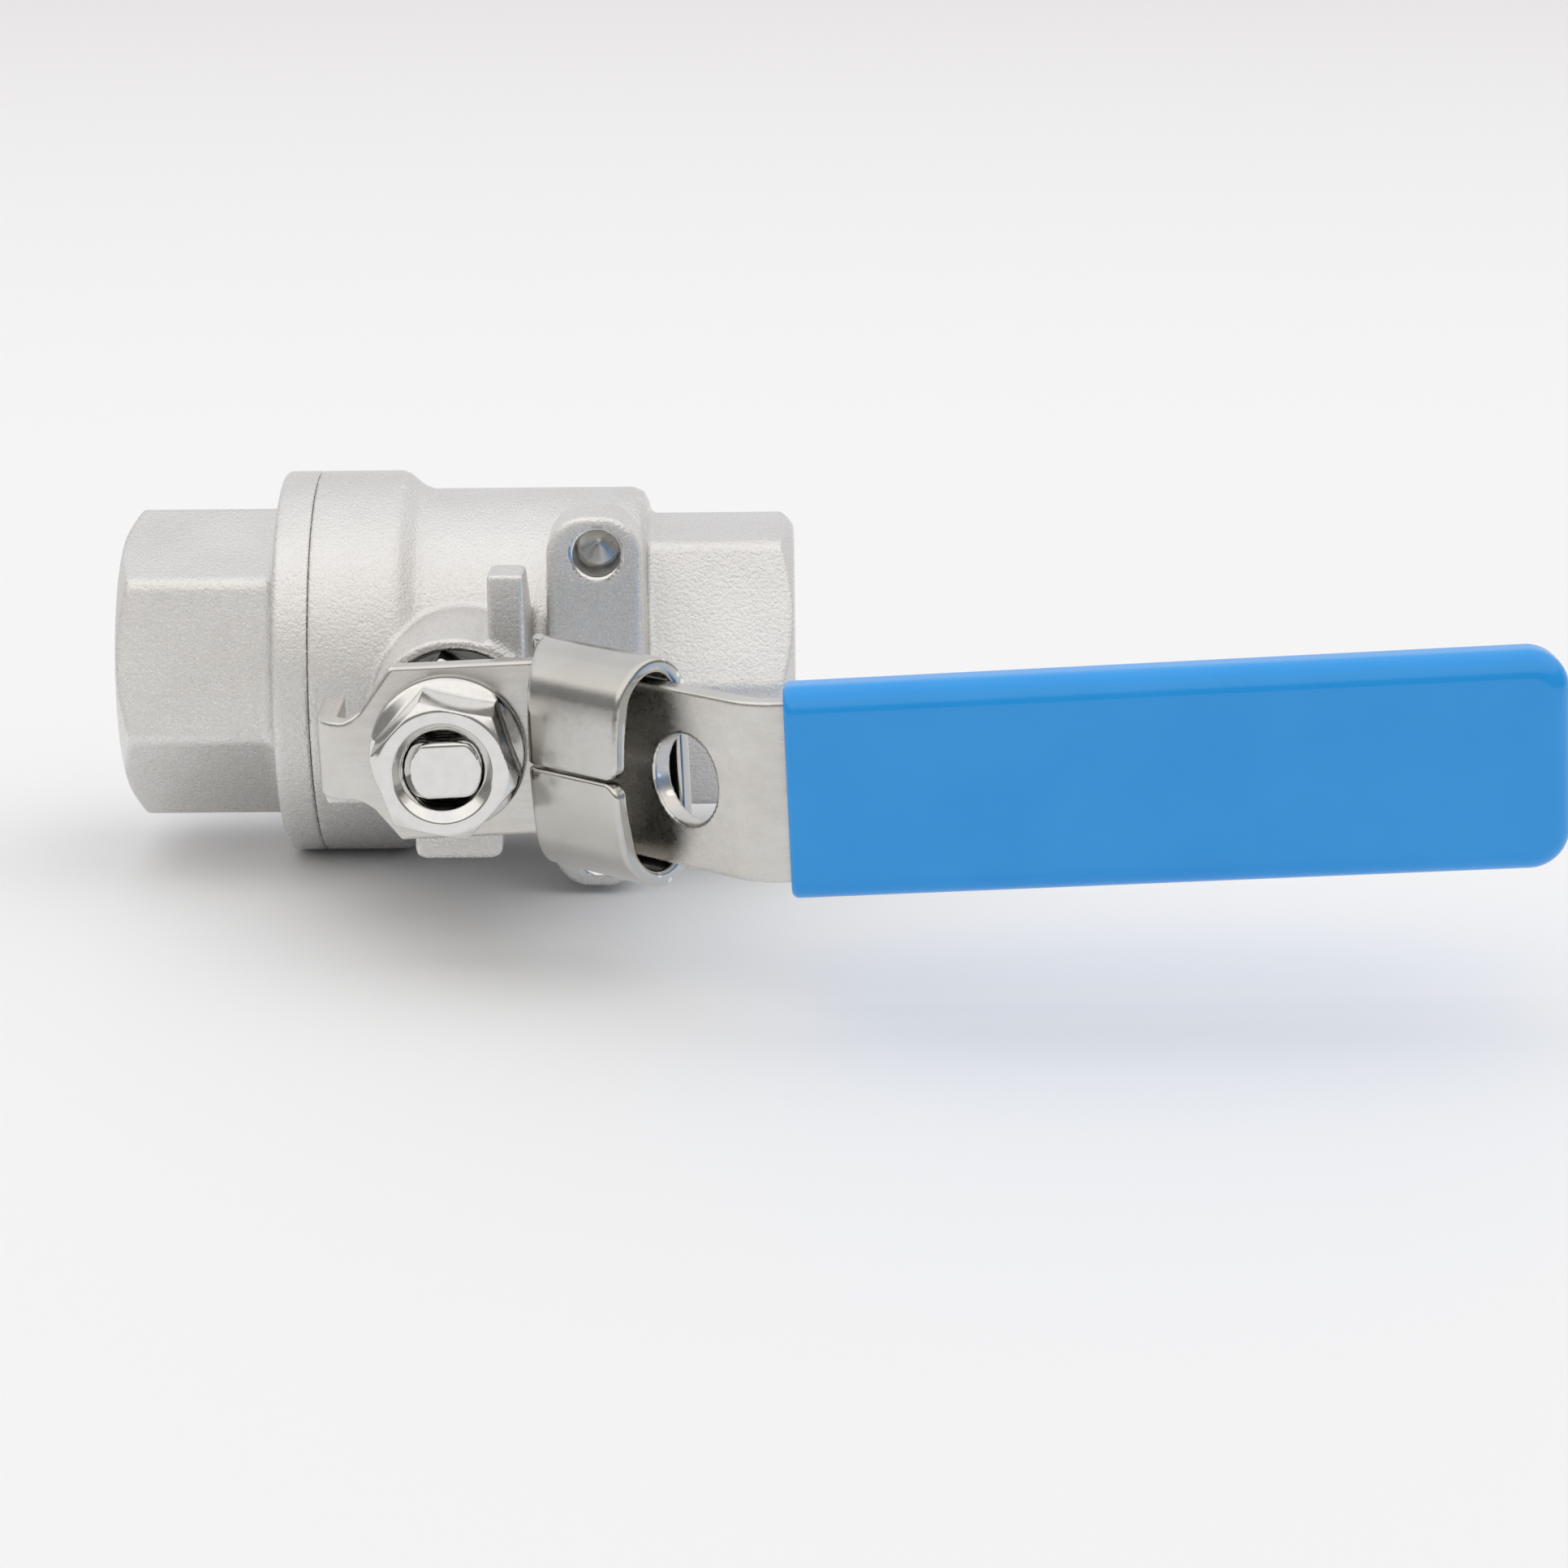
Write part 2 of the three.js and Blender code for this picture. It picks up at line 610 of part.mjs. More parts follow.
function makeLockSlide() {
  const low = -8;
  const high = SLIDE_TOP_ALONG;
  const tube = uprightPrism(slideSection(SLIDE_HALF_WIDTH, SLIDE_HALF_THICKNESS), low, high, 12);
  const hollow = uprightPrism(
    slideSection(SLIDE_HALF_WIDTH - SLIDE_WALL, SLIDE_HALF_THICKNESS - SLIDE_WALL),
    low - 1,
    high + 1,
    12,
  );
  const slit = box([-9, 0], [-SLIDE_SLIT / 2, SLIDE_SLIT / 2], [low - 1, high + 1]);
  const ring = ontoIncline(tube.subtract(hollow).subtract(slit).translate([SLIDE_CENTRE, 0, 0]));
  // The lower end is cut nearly upright: it clears the nut in front and reaches down behind the plate,
  // where a notch leaves two prongs to straddle a lock tab.
  const front = polygon([[-20, 80], [10.6, 80], [10.6, 60.5], [14.2, 46], [14.2, 30], [-20, 30]]);
  const foot = box([-20, 40], [-20, 20], [30, SLIDE_FOOT_Z]);
  const notch = box([-20, 30], [-SLIDE_NOTCH_HALF_WIDTH, SLIDE_NOTCH_HALF_WIDTH], [30, SLIDE_FOOT_Z + 4]);
  const sideEnds = box([-20, SLIDE_SIDE_X], [-20, 20], [30, SLIDE_SIDE_TOP_Z]);
  const frontWallOnly = ontoIncline(box([-12, 0], [-20, 20], [-20, 30]));
  return ring
    .subtract(sidewaysPrism(front, 20).intersect(frontWallOnly))
    .subtract(sideEnds)
    .subtract(foot)
    .subtract(notch);
}

function makeGrip() {
  const corner = 5;
  const inset = GRIP_ROUNDING;
  const [start, end] = [GRIP_START_X + inset, GRIP_END_X - inset];
  const [near, far] = [GRIP_HALF_WIDTH - inset, GRIP_END_HALF_WIDTH - inset];
  const shape = new THREE.Shape();
  shape.moveTo(start, -near);
  shape.lineTo(end - corner, -far);
  shape.absarc(end - corner, -far + corner, corner, 1.5 * Math.PI, 2 * Math.PI, false);
  shape.absarc(end - corner, far - corner, corner, 0, Math.PI / 2, false);
  shape.lineTo(start, near);
  shape.closePath();
  const sleeve = new THREE.ExtrudeGeometry(shape, {
    depth: GRIP_HEIGHT - 2 * inset,
    bevelThickness: inset,
    bevelSize: inset,
    bevelSegments: 4,
    curveSegments: 6,
  });
  const outside = toSolid(sleeve.translate(0, 0, GRIP_Z - GRIP_HEIGHT / 2 + inset));
  const halfPocket = SHEET / 2 + GAP;
  const pocket = uprightPrism(leverOutline(0.35), GRIP_Z - halfPocket, GRIP_Z + halfPocket);
  return outside.subtract(pocket);
}

// ---- Materials and assembly ---------------------------------------------------------------------
const FINISHES = {
  castSteel: { color: 0xa9a8a4, metalness: 1, roughness: 0.5 },
  sheetSteel: { color: 0xb6b3ad, metalness: 1, roughness: 0.35 },
  turnedSteel: { color: 0xc4c3c0, metalness: 1, roughness: 0.2 },
  springSteel: { color: 0x9a9a98, metalness: 1, roughness: 0.3 },
  ptfe: { color: 0xeeeeea, metalness: 0, roughness: 0.5 },
  rubber: { color: 0x202020, metalness: 0, roughness: 0.7 },
  vinyl: { color: 0x4492d3, metalness: 0, roughness: 0.25 },
};

function addPiece(group, name, solid, finish) {
  const mesh = new THREE.Mesh(toGeometry(solid), new THREE.MeshStandardMaterial(FINISHES[finish]));
  mesh.name = name;
  group.add(mesh);
}

const valve = new THREE.Group();
addPiece(valve, 'valve_body', makeValveBody(), 'castSteel');
addPiece(valve, 'end_cap', makeEndCap(), 'castSteel');
addPiece(valve, 'body_gasket', makeBodyGasket(), 'ptfe');
addPiece(valve, 'seat_cap_side', makeSeat(-1), 'ptfe');
addPiece(valve, 'seat_body_side', makeSeat(1), 'ptfe');
addPiece(valve, 'thrust_washer', ringAboutZ(STEM_RADIUS + 0.3, 8.4, 21.3, 22.2), 'ptfe');
['lower', 'middle', 'upper'].forEach((place, index) => {
  addPiece(valve, `packing_ring_${place}`, makePackingRing(index), 'ptfe');
});
addPiece(valve, 'gland_ring', makeGlandRing(), 'turnedSteel');

const turning = new THREE.Group();
turning.rotation.z = REST_ANGLE;
addPiece(turning, 'ball', makeBall(), 'turnedSteel');
addPiece(turning, 'stem', makeStem(), 'turnedSteel');
addPiece(turning, 'stem_o_ring', makeStemORing(), 'rubber');
addPiece(turning, 'disc_spring_lower', makeDiscSpring(34.3), 'springSteel');
addPiece(turning, 'disc_spring_upper', makeDiscSpring(35.25), 'springSteel');
addPiece(turning, 'gland_nut', makeGlandNut(), 'turnedSteel');
addPiece(turning, 'lever', makeLever(), 'sheetSteel');
addPiece(turning, 'lever_nut', makeLeverNut(), 'turnedSteel');
addPiece(turning, 'lever_grip', makeGrip(), 'vinyl');
addPiece(turning, 'lock_slide', makeLockSlide(), 'sheetSteel');
valve.add(turning);

export default valve;
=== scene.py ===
"""A lockable two-piece ball valve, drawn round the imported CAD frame.

Lengths are in millimetres until a mesh is made, and angles in radians. Each piece is a signed distance
field (negative inside the solid) that is turned into a fine mesh, in the frame of the CAD model: +X along
the pipe towards the grip, +Z up the stem, origin at the centre of the ball.
"""
import json
import math

import bpy
import numpy as np
from mathutils import Matrix, Vector


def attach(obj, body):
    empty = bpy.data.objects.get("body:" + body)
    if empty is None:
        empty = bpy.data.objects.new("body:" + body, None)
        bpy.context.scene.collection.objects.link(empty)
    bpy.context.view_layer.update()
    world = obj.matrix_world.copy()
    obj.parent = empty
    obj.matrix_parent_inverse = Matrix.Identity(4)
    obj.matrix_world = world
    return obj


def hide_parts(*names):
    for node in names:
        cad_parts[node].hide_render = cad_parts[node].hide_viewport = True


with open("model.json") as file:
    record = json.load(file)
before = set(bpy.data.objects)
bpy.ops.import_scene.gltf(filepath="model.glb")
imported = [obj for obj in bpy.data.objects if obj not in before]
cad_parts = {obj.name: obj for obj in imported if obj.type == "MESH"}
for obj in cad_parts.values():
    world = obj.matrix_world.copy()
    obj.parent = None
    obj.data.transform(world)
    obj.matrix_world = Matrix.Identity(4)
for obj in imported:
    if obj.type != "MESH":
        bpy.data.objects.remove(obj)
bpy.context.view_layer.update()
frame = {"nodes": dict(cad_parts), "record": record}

MM = 0.001
REST_ANGLE = math.radians(2.2)  # how far the open lever is turned from the pipe axis
COARSE = 1.0

# Sizes shared with the CAD model
HEX_APOTHEM = 18.3
HEX_ROUND = 2.5
HEX_END_RADIUS = 17.6  # of the end faces, inside the 30 degree chamfer
CAP_HEX_CORNER = math.radians(-13)
BODY_HEX_CORNER = math.pi / 2
FLANGE_RADIUS = 25.85
BARREL_RADIUS = 23.35
CAP_END = -46.8
BODY_END = 43.8
SEAM = -20.5
SEAM_FILL = 0.14  # how far the cap reaches into the gap between the CAD solids
SEAM_LINE = 0.05  # how wide the joint between body and cap looks
CAP_FLANGE_LENGTH = 4.7
CAP_SHANK_RADIUS = 22.3
CAP_SHANK_END = -12.7
CAVITY_RADIUS = 20.2
SEAT_POCKET_RADIUS = 18.5
PORT_RADIUS = 12.6

SOCKET_DEPTH = 18
SOCKET_RADIUS = 15.2
SOCKET_MOUTH_RADIUS = 16.8
PIPE_PITCH = 2.309
PIPE_THREAD_DEPTH = 1.35
PIPE_THREAD_END = 17.2
PIPE_THREAD_FADE = 1.5

BOSS_RADIUS = 11.7
BOSS_TOP = 39.5
EAR_X = (11.4, 23.8)
EAR_REACH = 24.9
EAR_Z = (17, 27)
EAR_CORNER = 5.2
EAR_HOLE = (18, 20)
EAR_HOLE_PROFILE = [(18.3, 0), (20, 3), (26.6, 3), (30, 6.4)]  # (height, radius)

STEM_THREAD_RADIUS = 4.95
STEM_THREAD_DEPTH = 0.8
STEM_PITCH = 1.5
STEM_TOP = 61.7
STEM_FLATS_Z = 49
STEM_HALF_FLATS = 3.7
TANG_HALF_WIDTH = 3.2
TANG_TOP = 19.4
BALL_RADIUS = 19
BALL_BORE_RADIUS = 12.5
BALL_SLOT = (3.5, 13, 15.1)  # half width, half length and floor
BALL_VENT_RADIUS = 1.25

LEVER_NUT = {"apothem": 8, "low": 52.3, "high": 62.7}
GLAND_NUT = {"apothem": 8.5, "low": 36.5, "high": 42.5}
NUT_THREAD_DEPTH = 0.3

SHEET = 2.8
PLATE_Z = 50.6
GRIP_Z = 78.6
LEG_X = -15.5
LEG_FOOT = 37
LOWER_BEND_X = 12.1
UPPER_BEND_X = 38.98
BEND_RADIUS = 3.9
GRIP_BEND_RADIUS = 7.5
INCLINE = math.atan2(GRIP_Z - PLATE_Z, UPPER_BEND_X - LOWER_BEND_X)
ARM_SIDES = (-5.8, 4.3)
LOCK_HOLE_RADIUS = 5.65
LOCK_HOLE_ALONG = 26.9

SLIDE_WALL = 2
SLIDE_HALF_WIDTH = 14.4
SLIDE_HALF_THICKNESS = 5.4
SLIDE_CENTRE = 0.4  # behind the front face of the lever
SLIDE_CROWN = 1.9  # how far the front wall bulges
SLIDE_CROWN_REACH = 13
SLIDE_TOP_ALONG = 21.8
SLIDE_VEE_ALONG = 20.3
SLIDE_FOOT = 46.1
SLIDE_NOTCH_HALF_WIDTH = 6.6
SLIDE_NOTCH_TOP = 50.1
SLIDE_HALF_SLIT = 0.17
SLIDE_SIDE_X = 11.3  # below SLIDE_SIDE_TOP the side walls end here
SLIDE_SIDE_TOP = 56

GRIP_START = 42.5
GRIP_END = 136
GRIP_HALF_WIDTH = 13.1
GRIP_FLARE = 0.4  # how much wider each side gets towards the end
GRIP_FLARE_LENGTH = 90
GRIP_CORNER = 5.0
GRIP_HEIGHT = 8.4
GRIP_ROUNDING = 3.2
GRIP_POCKET_END = 133.4
GRIP_POCKET_HALF_WIDTH = 11.7
GRIP_POCKET_CORNER = 3.6
GRIP_POCKET_HALF_HEIGHT = 1.7


# ---- Camera and studio --------------------------------------------------------------------------
SENSOR = 36
FOCAL_IN_WIDTHS = 5500 / 1932
CAMERA_PLACE = (42.1, 137.08, 595.68)
CAMERA_TILT = math.radians(14.6)
CAMERA_ROLL = math.radians(0.5)

# Each sky is a list of (sine of the elevation, colour).
FRONT_SKY = [
    (0.00, (0.17, 0.165, 0.16)),
    (0.08, (0.17, 0.165, 0.16)),
    (0.34, (0.19, 0.185, 0.18)),
    (0.50, (0.75, 0.73, 0.70)),
    (0.82, (0.81, 0.79, 0.765)),
    (1.00, (0.69, 0.69, 0.70)),
]
REAR_SKY = [(0.0, (0.50, 0.50, 0.51)), (0.5, (0.56, 0.56, 0.57)), (1.0, (0.60, 0.60, 0.61))]
REAR_TO_FRONT = (-0.6, -0.15)  # the Z part of the directions between which the skies mix
SKY_STRENGTH = 1.45

# The table, in metres
TABLE_SIZE = (2.6, 3.2)
TABLE_CENTRE_Z = -0.4
TABLE_GAP = 0.0001
# Painted shade: the table is painted darker with distance behind its middle.
TABLE_SHADE_SPAN = (-0.1, 1.4)  # the distance behind its middle over which it gets darker


def make_camera():
    """A camera before the stem end that looks a little down on the table."""
    back = Vector((0, math.sin(CAMERA_TILT), math.cos(CAMERA_TILT)))
    level_up = Vector((0, math.cos(CAMERA_TILT), -math.sin(CAMERA_TILT)))
    across = Vector((1, 0, 0))
    right = across * math.cos(CAMERA_ROLL) - level_up * math.sin(CAMERA_ROLL)
    up = across * math.sin(CAMERA_ROLL) + level_up * math.cos(CAMERA_ROLL)
    data = bpy.data.cameras.new("camera")
    data.sensor_width = SENSOR
    data.lens = FOCAL_IN_WIDTHS * data.sensor_width
    data.clip_start = 0.05
    data.clip_end = 20
    camera = bpy.data.objects.new("camera", data)
    bpy.context.collection.objects.link(camera)
    rotation = Matrix((right, up, back)).transposed().to_4x4()
    camera.matrix_world = Matrix.Translation(Vector(CAMERA_PLACE) * MM) @ rotation
    bpy.context.scene.camera = camera


def soft_light(name, place, aim, size, watts, colour):
    """A softbox that lights the floor and the plastic, but isn't mirrored in the metal."""
    data = bpy.data.lights.new(name, "AREA")
    data.shape = "RECTANGLE"
    data.size, data.size_y = size
    data.energy = watts
    data.color = colour
    light = bpy.data.objects.new(name, data)
    bpy.context.collection.objects.link(light)
    light.location = place
    light.rotation_euler = (Vector(aim) - Vector(place)).to_track_quat("-Z", "Y").to_euler()
    light.visible_glossy = False


def sky_ramp(nodes, links, height, stops):
    """Brightness of the room by the sine of the elevation above the table."""
    ramp = nodes.new("ShaderNodeValToRGB")
    elements = ramp.color_ramp.elements
    while len(elements) < len(stops):
        elements.new(0.5)
    for element, (place, colour) in zip(elements, stops):
        element.position = place
        element.color = (*colour, 1)
    links.new(height, ramp.inputs["Fac"])
    return ramp.outputs["Color"]


def make_room():
    """A grey room, bright above the front of the table, where up is +Y and the front is +Z."""
    world = bpy.data.worlds.new("studio")
    bpy.context.scene.world = world
    world.use_nodes = True
    nodes, links = world.node_tree.nodes, world.node_tree.links
    direction = nodes.new("ShaderNodeTexCoord").outputs["Generated"]
    split = nodes.new("ShaderNodeSeparateXYZ")
    links.new(direction, split.inputs["Vector"])
    front = sky_ramp(nodes, links, split.outputs["Y"], FRONT_SKY)
    rear = sky_ramp(nodes, links, split.outputs["Y"], REAR_SKY)
    towards = nodes.new("ShaderNodeMapRange")
    towards.inputs["From Min"].default_value, towards.inputs["From Max"].default_value = REAR_TO_FRONT
    links.new(split.outputs["Z"], towards.inputs["Value"])
    mix = nodes.new("ShaderNodeMix")
    mix.data_type = "RGBA"
    links.new(towards.outputs["Result"], mix.inputs["Factor"])
    links.new(rear, mix.inputs["A"])
    links.new(front, mix.inputs["B"])
    links.new(mix.outputs["Result"], nodes["Background"].inputs["Color"])
    nodes["Background"].inputs["Strength"].default_value = SKY_STRENGTH


# ---- Distance fields ----------------------------------------------------------------------------
def union(a, b, radius=0.0):
    """Both solids, with a fillet where they meet."""
    if radius == 0:
        return np.minimum(a, b)
    u, v = np.maximum(radius - a, 0), np.maximum(radius - b, 0)
    return np.maximum(radius, np.minimum(a, b)) - np.hypot(u, v)


def common(a, b, radius=0.0):
    """Where the solids overlap, with a rounded edge."""
    if radius == 0:
        return np.maximum(a, b)
    u, v = np.maximum(radius + a, 0), np.maximum(radius + b, 0)
    return np.minimum(-radius, np.maximum(a, b)) + np.hypot(u, v)


def cut(a, b, radius=0.0):
    """The first solid without the second, with a rounded edge."""
    return common(a, -b, radius)


def polygon(u, v, points):
    """Signed distance to a closed outline in a plane."""
    points = [np.array(p, float) for p in points]
    best = np.full(np.shape(u), np.inf)
    inside = np.zeros(np.shape(u), bool)
    for a, b in zip(points, points[1:] + points[:1]):
        edge = b - a
        du, dv = u - a[0], v - a[1]
        t = np.clip((du * edge[0] + dv * edge[1]) / (edge @ edge), 0, 1)
        best = np.minimum(best, (du - t * edge[0]) ** 2 + (dv - t * edge[1]) ** 2)
        if a[1] != b[1]:
            crosses = (a[1] > v) != (b[1] > v)
            inside ^= crosses & (u < a[0] + (v - a[1]) * edge[0] / edge[1])
    return np.where(inside, -1, 1) * np.sqrt(best)


def turned(along, radius, profile):
    """A turned piece: its profile is a list of (along, radius), closed beyond the axis."""
    beyond = -20
    points = [(profile[0][0], beyond), *profile, (profile[-1][0], beyond)]
    return polygon(along, radius, points)


def slab(value, low, high):
    """Between two parallel planes."""
    return np.abs(value - (low + high) / 2) - (high - low) / 2


def rectangle(u, v, u_range, v_range, corner=0.0):
    """A rectangle with rounded corners."""
    du = slab(u, *u_range) + corner
    dv = slab(v, *v_range) + corner
    return np.hypot(np.maximum(du, 0), np.maximum(dv, 0)) + np.minimum(np.maximum(du, dv), 0) - corner


def hexagon(u, v, apothem, corner, first_corner):
    """A hexagon with rounded corners, one of them at the angle first_corner."""
    flat = apothem - corner
    radius = np.hypot(u, v)
    angle = np.mod(np.arctan2(v, u) - first_corner, math.pi / 3) - math.pi / 6
    ahead = radius * np.cos(angle) - flat
    aside = np.maximum(np.abs(radius * np.sin(angle)) - flat * math.tan(math.pi / 6), 0)
    return np.sign(ahead) * np.hypot(ahead, aside) - corner


def thread(along, angle, pitch, depth, hand=1):
    """How far a rounded V thread reaches out of its root, from 0 to depth."""
    flat = 0.08
    phase = along / pitch - hand * angle / (2 * math.pi)
    wave = 1 - np.abs(2 * (phase - np.floor(phase)) - 1)
    return depth * np.clip((wave - flat) / (1 - 2 * flat), 0, 1)


def turn_to(x, y, degrees):
    """Coordinates of points seen in a frame that is turned about Z by the angle."""
    c, s = math.cos(math.radians(degrees)), math.sin(math.radians(degrees))
    return c * x + s * y, c * y - s * x


# ---- From a field to a mesh ---------------------------------------------------------------------
BLOCK = 8  # points along a side of a block
BLOCK_SLACK = 1.15
FILLET_SLACK = 0.3
BATCH = 600  # blocks worked out at once
OFF_PLANE = 0.0137  # shifts a grid off the planes of the design, which would give slivers


def sample(field, xs, ys, zs):
    """The field on a grid. Blocks that the surface can't cross keep the value at their centre."""
    axes = [xs, ys, zs]
    starts = [np.arange(0, len(a), BLOCK) for a in axes]
    ends = [np.minimum(s + BLOCK - 1, len(a) - 1) for s, a in zip(starts, axes)]
    middles = [(a[s] + a[e]) / 2 for a, s, e in zip(axes, starts, ends)]
    halves = [(a[e] - a[s]) / 2 for a, s, e in zip(axes, starts, ends)]
    mx, my, mz = np.meshgrid(*middles, indexing="ij")
    hx, hy, hz = np.meshgrid(*halves, indexing="ij")
    rough = field(mx, my, mz)
    reach = np.sqrt(hx**2 + hy**2 + hz**2)
    values = rough.repeat(BLOCK, 0).repeat(BLOCK, 1).repeat(BLOCK, 2)
    values = values[: len(xs), : len(ys), : len(zs)].copy()
    near = np.argwhere(np.abs(rough) <= reach * BLOCK_SLACK + FILLET_SLACK)
    steps = np.arange(BLOCK)
    for part in np.array_split(near, max(1, len(near) // BATCH)):
        corner = part * BLOCK
        i = np.minimum(corner[:, 0, None] + steps, len(xs) - 1)[:, :, None, None]
        j = np.minimum(corner[:, 1, None] + steps, len(ys) - 1)[:, None, :, None]
        k = np.minimum(corner[:, 2, None] + steps, len(zs) - 1)[:, None, None, :]
        x, y, z = np.broadcast_arrays(xs[i], ys[j], zs[k])
        values[i, j, k] = field(x, y, z)
    return values


def net(values, xs, ys, zs):
    """Surface net of the zero level: a vertex in each cell that the surface crosses, and quads between."""
    inside = values < 0
    corners = [(a, b, c) for a in (0, 1) for b in (0, 1) for c in (0, 1)]
    shape = tuple(n - 1 for n in values.shape)

    def corner_of(array, a, b, c):
        return array[a : a + shape[0], b : b + shape[1], c : c + shape[2]]

    count = sum(corner_of(inside, *c).astype(np.int8) for c in corners)
    cells = np.argwhere((count > 0) & (count < 8))
    index = np.full(shape, -1, np.int64)
    index[tuple(cells.T)] = np.arange(len(cells))
    total = np.zeros((len(cells), 3))
    hits = np.zeros(len(cells))
    axes = (xs, ys, zs)
    for start in corners:
        for axis in range(3):
            if start[axis]:
                continue
            end = list(start)
            end[axis] = 1
            a, b = cells + start, cells + end
            fa, fb = values[tuple(a.T)], values[tuple(b.T)]
            crossed = (fa < 0) != (fb < 0)
            t = np.where(crossed, fa / np.where(fa == fb, 1, fa - fb), 0)
            for n in range(3):
                pa, pb = axes[n][a[:, n]], axes[n][b[:, n]]
                total[:, n] += np.where(crossed, pa + t * (pb - pa), 0)
            hits += crossed
    vertices = total / hits[:, None]
    quads = []
    for axis in range(3):
        one, two = (axis + 1) % 3, (axis + 2) % 3
        low = [slice(None)] * 3
        high = [slice(None)] * 3
        low[axis], high[axis] = slice(0, -1), slice(1, None)
        before, after = inside[tuple(low)], inside[tuple(high)]
        edges = np.argwhere(before != after)
        keep = (edges[:, one] > 0) & (edges[:, two] > 0)
        keep &= (edges[:, one] < values.shape[one] - 1) & (edges[:, two] < values.shape[two] - 1)
        edges = edges[keep]
        outward = before[tuple(edges.T)]
        ring = []
        for back_one, back_two in ((1, 1), (0, 1), (0, 0), (1, 0)):
            cell = edges.copy()
            cell[:, one] -= back_one
            cell[:, two] -= back_two
            ring.append(index[tuple(cell.T)])
        ring = np.stack(ring, 1)
        quads.append(np.where(outward[:, None], ring, ring[:, ::-1]))
    return vertices, np.concatenate(quads)


def settle(field, vertices, step):
    """Moves the vertices onto the zero level along its gradient."""
    small = 0.01
    least_square = 0.2  # keeps a vertex from running off where the field is flat
    for _ in range(3):
        x, y, z = vertices.T
        value = field(x, y, z)
        slope = np.stack(
            [
                field(x + small, y, z) - field(x - small, y, z),
                field(x, y + small, z) - field(x, y - small, z),
                field(x, y, z + small) - field(x, y, z - small),
            ],
            1,
        ) / (2 * small)
        square = np.maximum((slope**2).sum(1), least_square)
        move = np.clip(value / square, -step / 2, step / 2)
        vertices = vertices - move[:, None] * slope
    return vertices


def grid(low, high, step, stretches=()):
    """Places along an axis. Each stretch (from, to, step) has its own spacing."""
    places = [low]
    while places[-1] < high:
        here = step
        for start, end, wider in stretches:
            if start <= places[-1] < end:
                here = wider
        places.append(places[-1] + here)
    return np.array(places) + OFF_PLANE


def add_mesh(name, vertices, faces, turned_by=0.0):
    """A smooth mesh from vertices in millimetres, turned about the stem axis."""
    if turned_by:
        c, s = math.cos(turned_by), math.sin(turned_by)
        vertices = vertices @ np.array([[c, s, 0], [-s, c, 0], [0, 0, 1]])
    mesh = bpy.data.meshes.new(name)
    mesh.vertices.add(len(vertices))
    mesh.vertices.foreach_set("co", (vertices * MM).astype(np.float32).ravel())
    mesh.loops.add(faces.size)
    mesh.loops.foreach_set("vertex_index", faces.ravel().astype(np.int32))
    mesh.polygons.add(len(faces))
    mesh.polygons.foreach_set("loop_start", np.arange(0, faces.size, faces.shape[1], dtype=np.int32))
    mesh.update(calc_edges=True)
    mesh.validate()
    mesh.shade_smooth()
    piece = bpy.data.objects.new(name, mesh)
    bpy.context.collection.objects.link(piece)
    return piece


def field_piece(name, field, xs, ys, zs, step, turned_by=0.0):
    """The mesh of a field, sampled at the places along three axes."""
    vertices, quads = net(sample(field, xs, ys, zs), xs, ys, zs)
    return add_mesh(name, settle(field, vertices, step), quads, turned_by)


def boxed_piece(name, field, low, high, step, turned_by=0.0):
    """The mesh of a field, sampled evenly in a box."""
    step *= COARSE
    axes = [grid(a - 2 * step, b + 2 * step, step) for a, b in zip(low, high)]
    return field_piece(name, field, *axes, step, turned_by)


def install(piece, node, body, material):
    """Lets a piece stand for a CAD node, with its own material."""
    piece.data.materials.append(material)
    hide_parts(node)
    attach(piece, body)


def polish(piece, zone, material):
    """Gives the machined faces of a casting their own finish; zone says which places are machined."""
    mesh = piece.data
    centres = np.empty(len(mesh.polygons) * 3, np.float32)
    mesh.polygons.foreach_get("center", centres)
    x, y, z = centres.reshape(-1, 3).T / MM
    mesh.materials.append(material)
    mesh.polygons.foreach_set("material_index", zone(x, y, z).astype(np.int32))


# ---- Cast body and cap --------------------------------------------------------------------------
def pipe_hexagon(x, y, z, low, high, end_sign, first_corner):
    """Hexagonal end with a turned chamfer at its open end."""
    radius = np.hypot(y, z)
    solid = common(hexagon(y, z, HEX_APOTHEM, HEX_ROUND, first_corner), slab(x, low, high), 0.4)
    end = high if end_sign > 0 else low
    slope = math.pi / 6
    cone = (end_sign * (x - end) + (radius - HEX_END_RADIUS) * math.tan(slope)) * math.cos(slope)
    return common(solid, cone, 0.25)


def pipe_bore(x, y, z, end, end_sign):
    """Threaded socket: a void with a V thread that runs out at its inner end, and a chamfered mouth."""
    flank = 0.62  # scales the field to the slope of the thread
    radius, angle = np.hypot(y, z), np.arctan2(z, y)
    inward = end_sign * (end - x)
    fade = np.clip((PIPE_THREAD_END - inward) / PIPE_THREAD_FADE, 0, 1)
    groove = thread(inward, angle, PIPE_PITCH, PIPE_THREAD_DEPTH, -end_sign) * fade
    socket = common((radius - SOCKET_RADIUS - groove) * flank, inward - SOCKET_DEPTH)
    mouth = (radius - SOCKET_MOUTH_RADIUS + inward) * math.sqrt(0.5)
    return union(socket, np.maximum(mouth, -inward - 3))


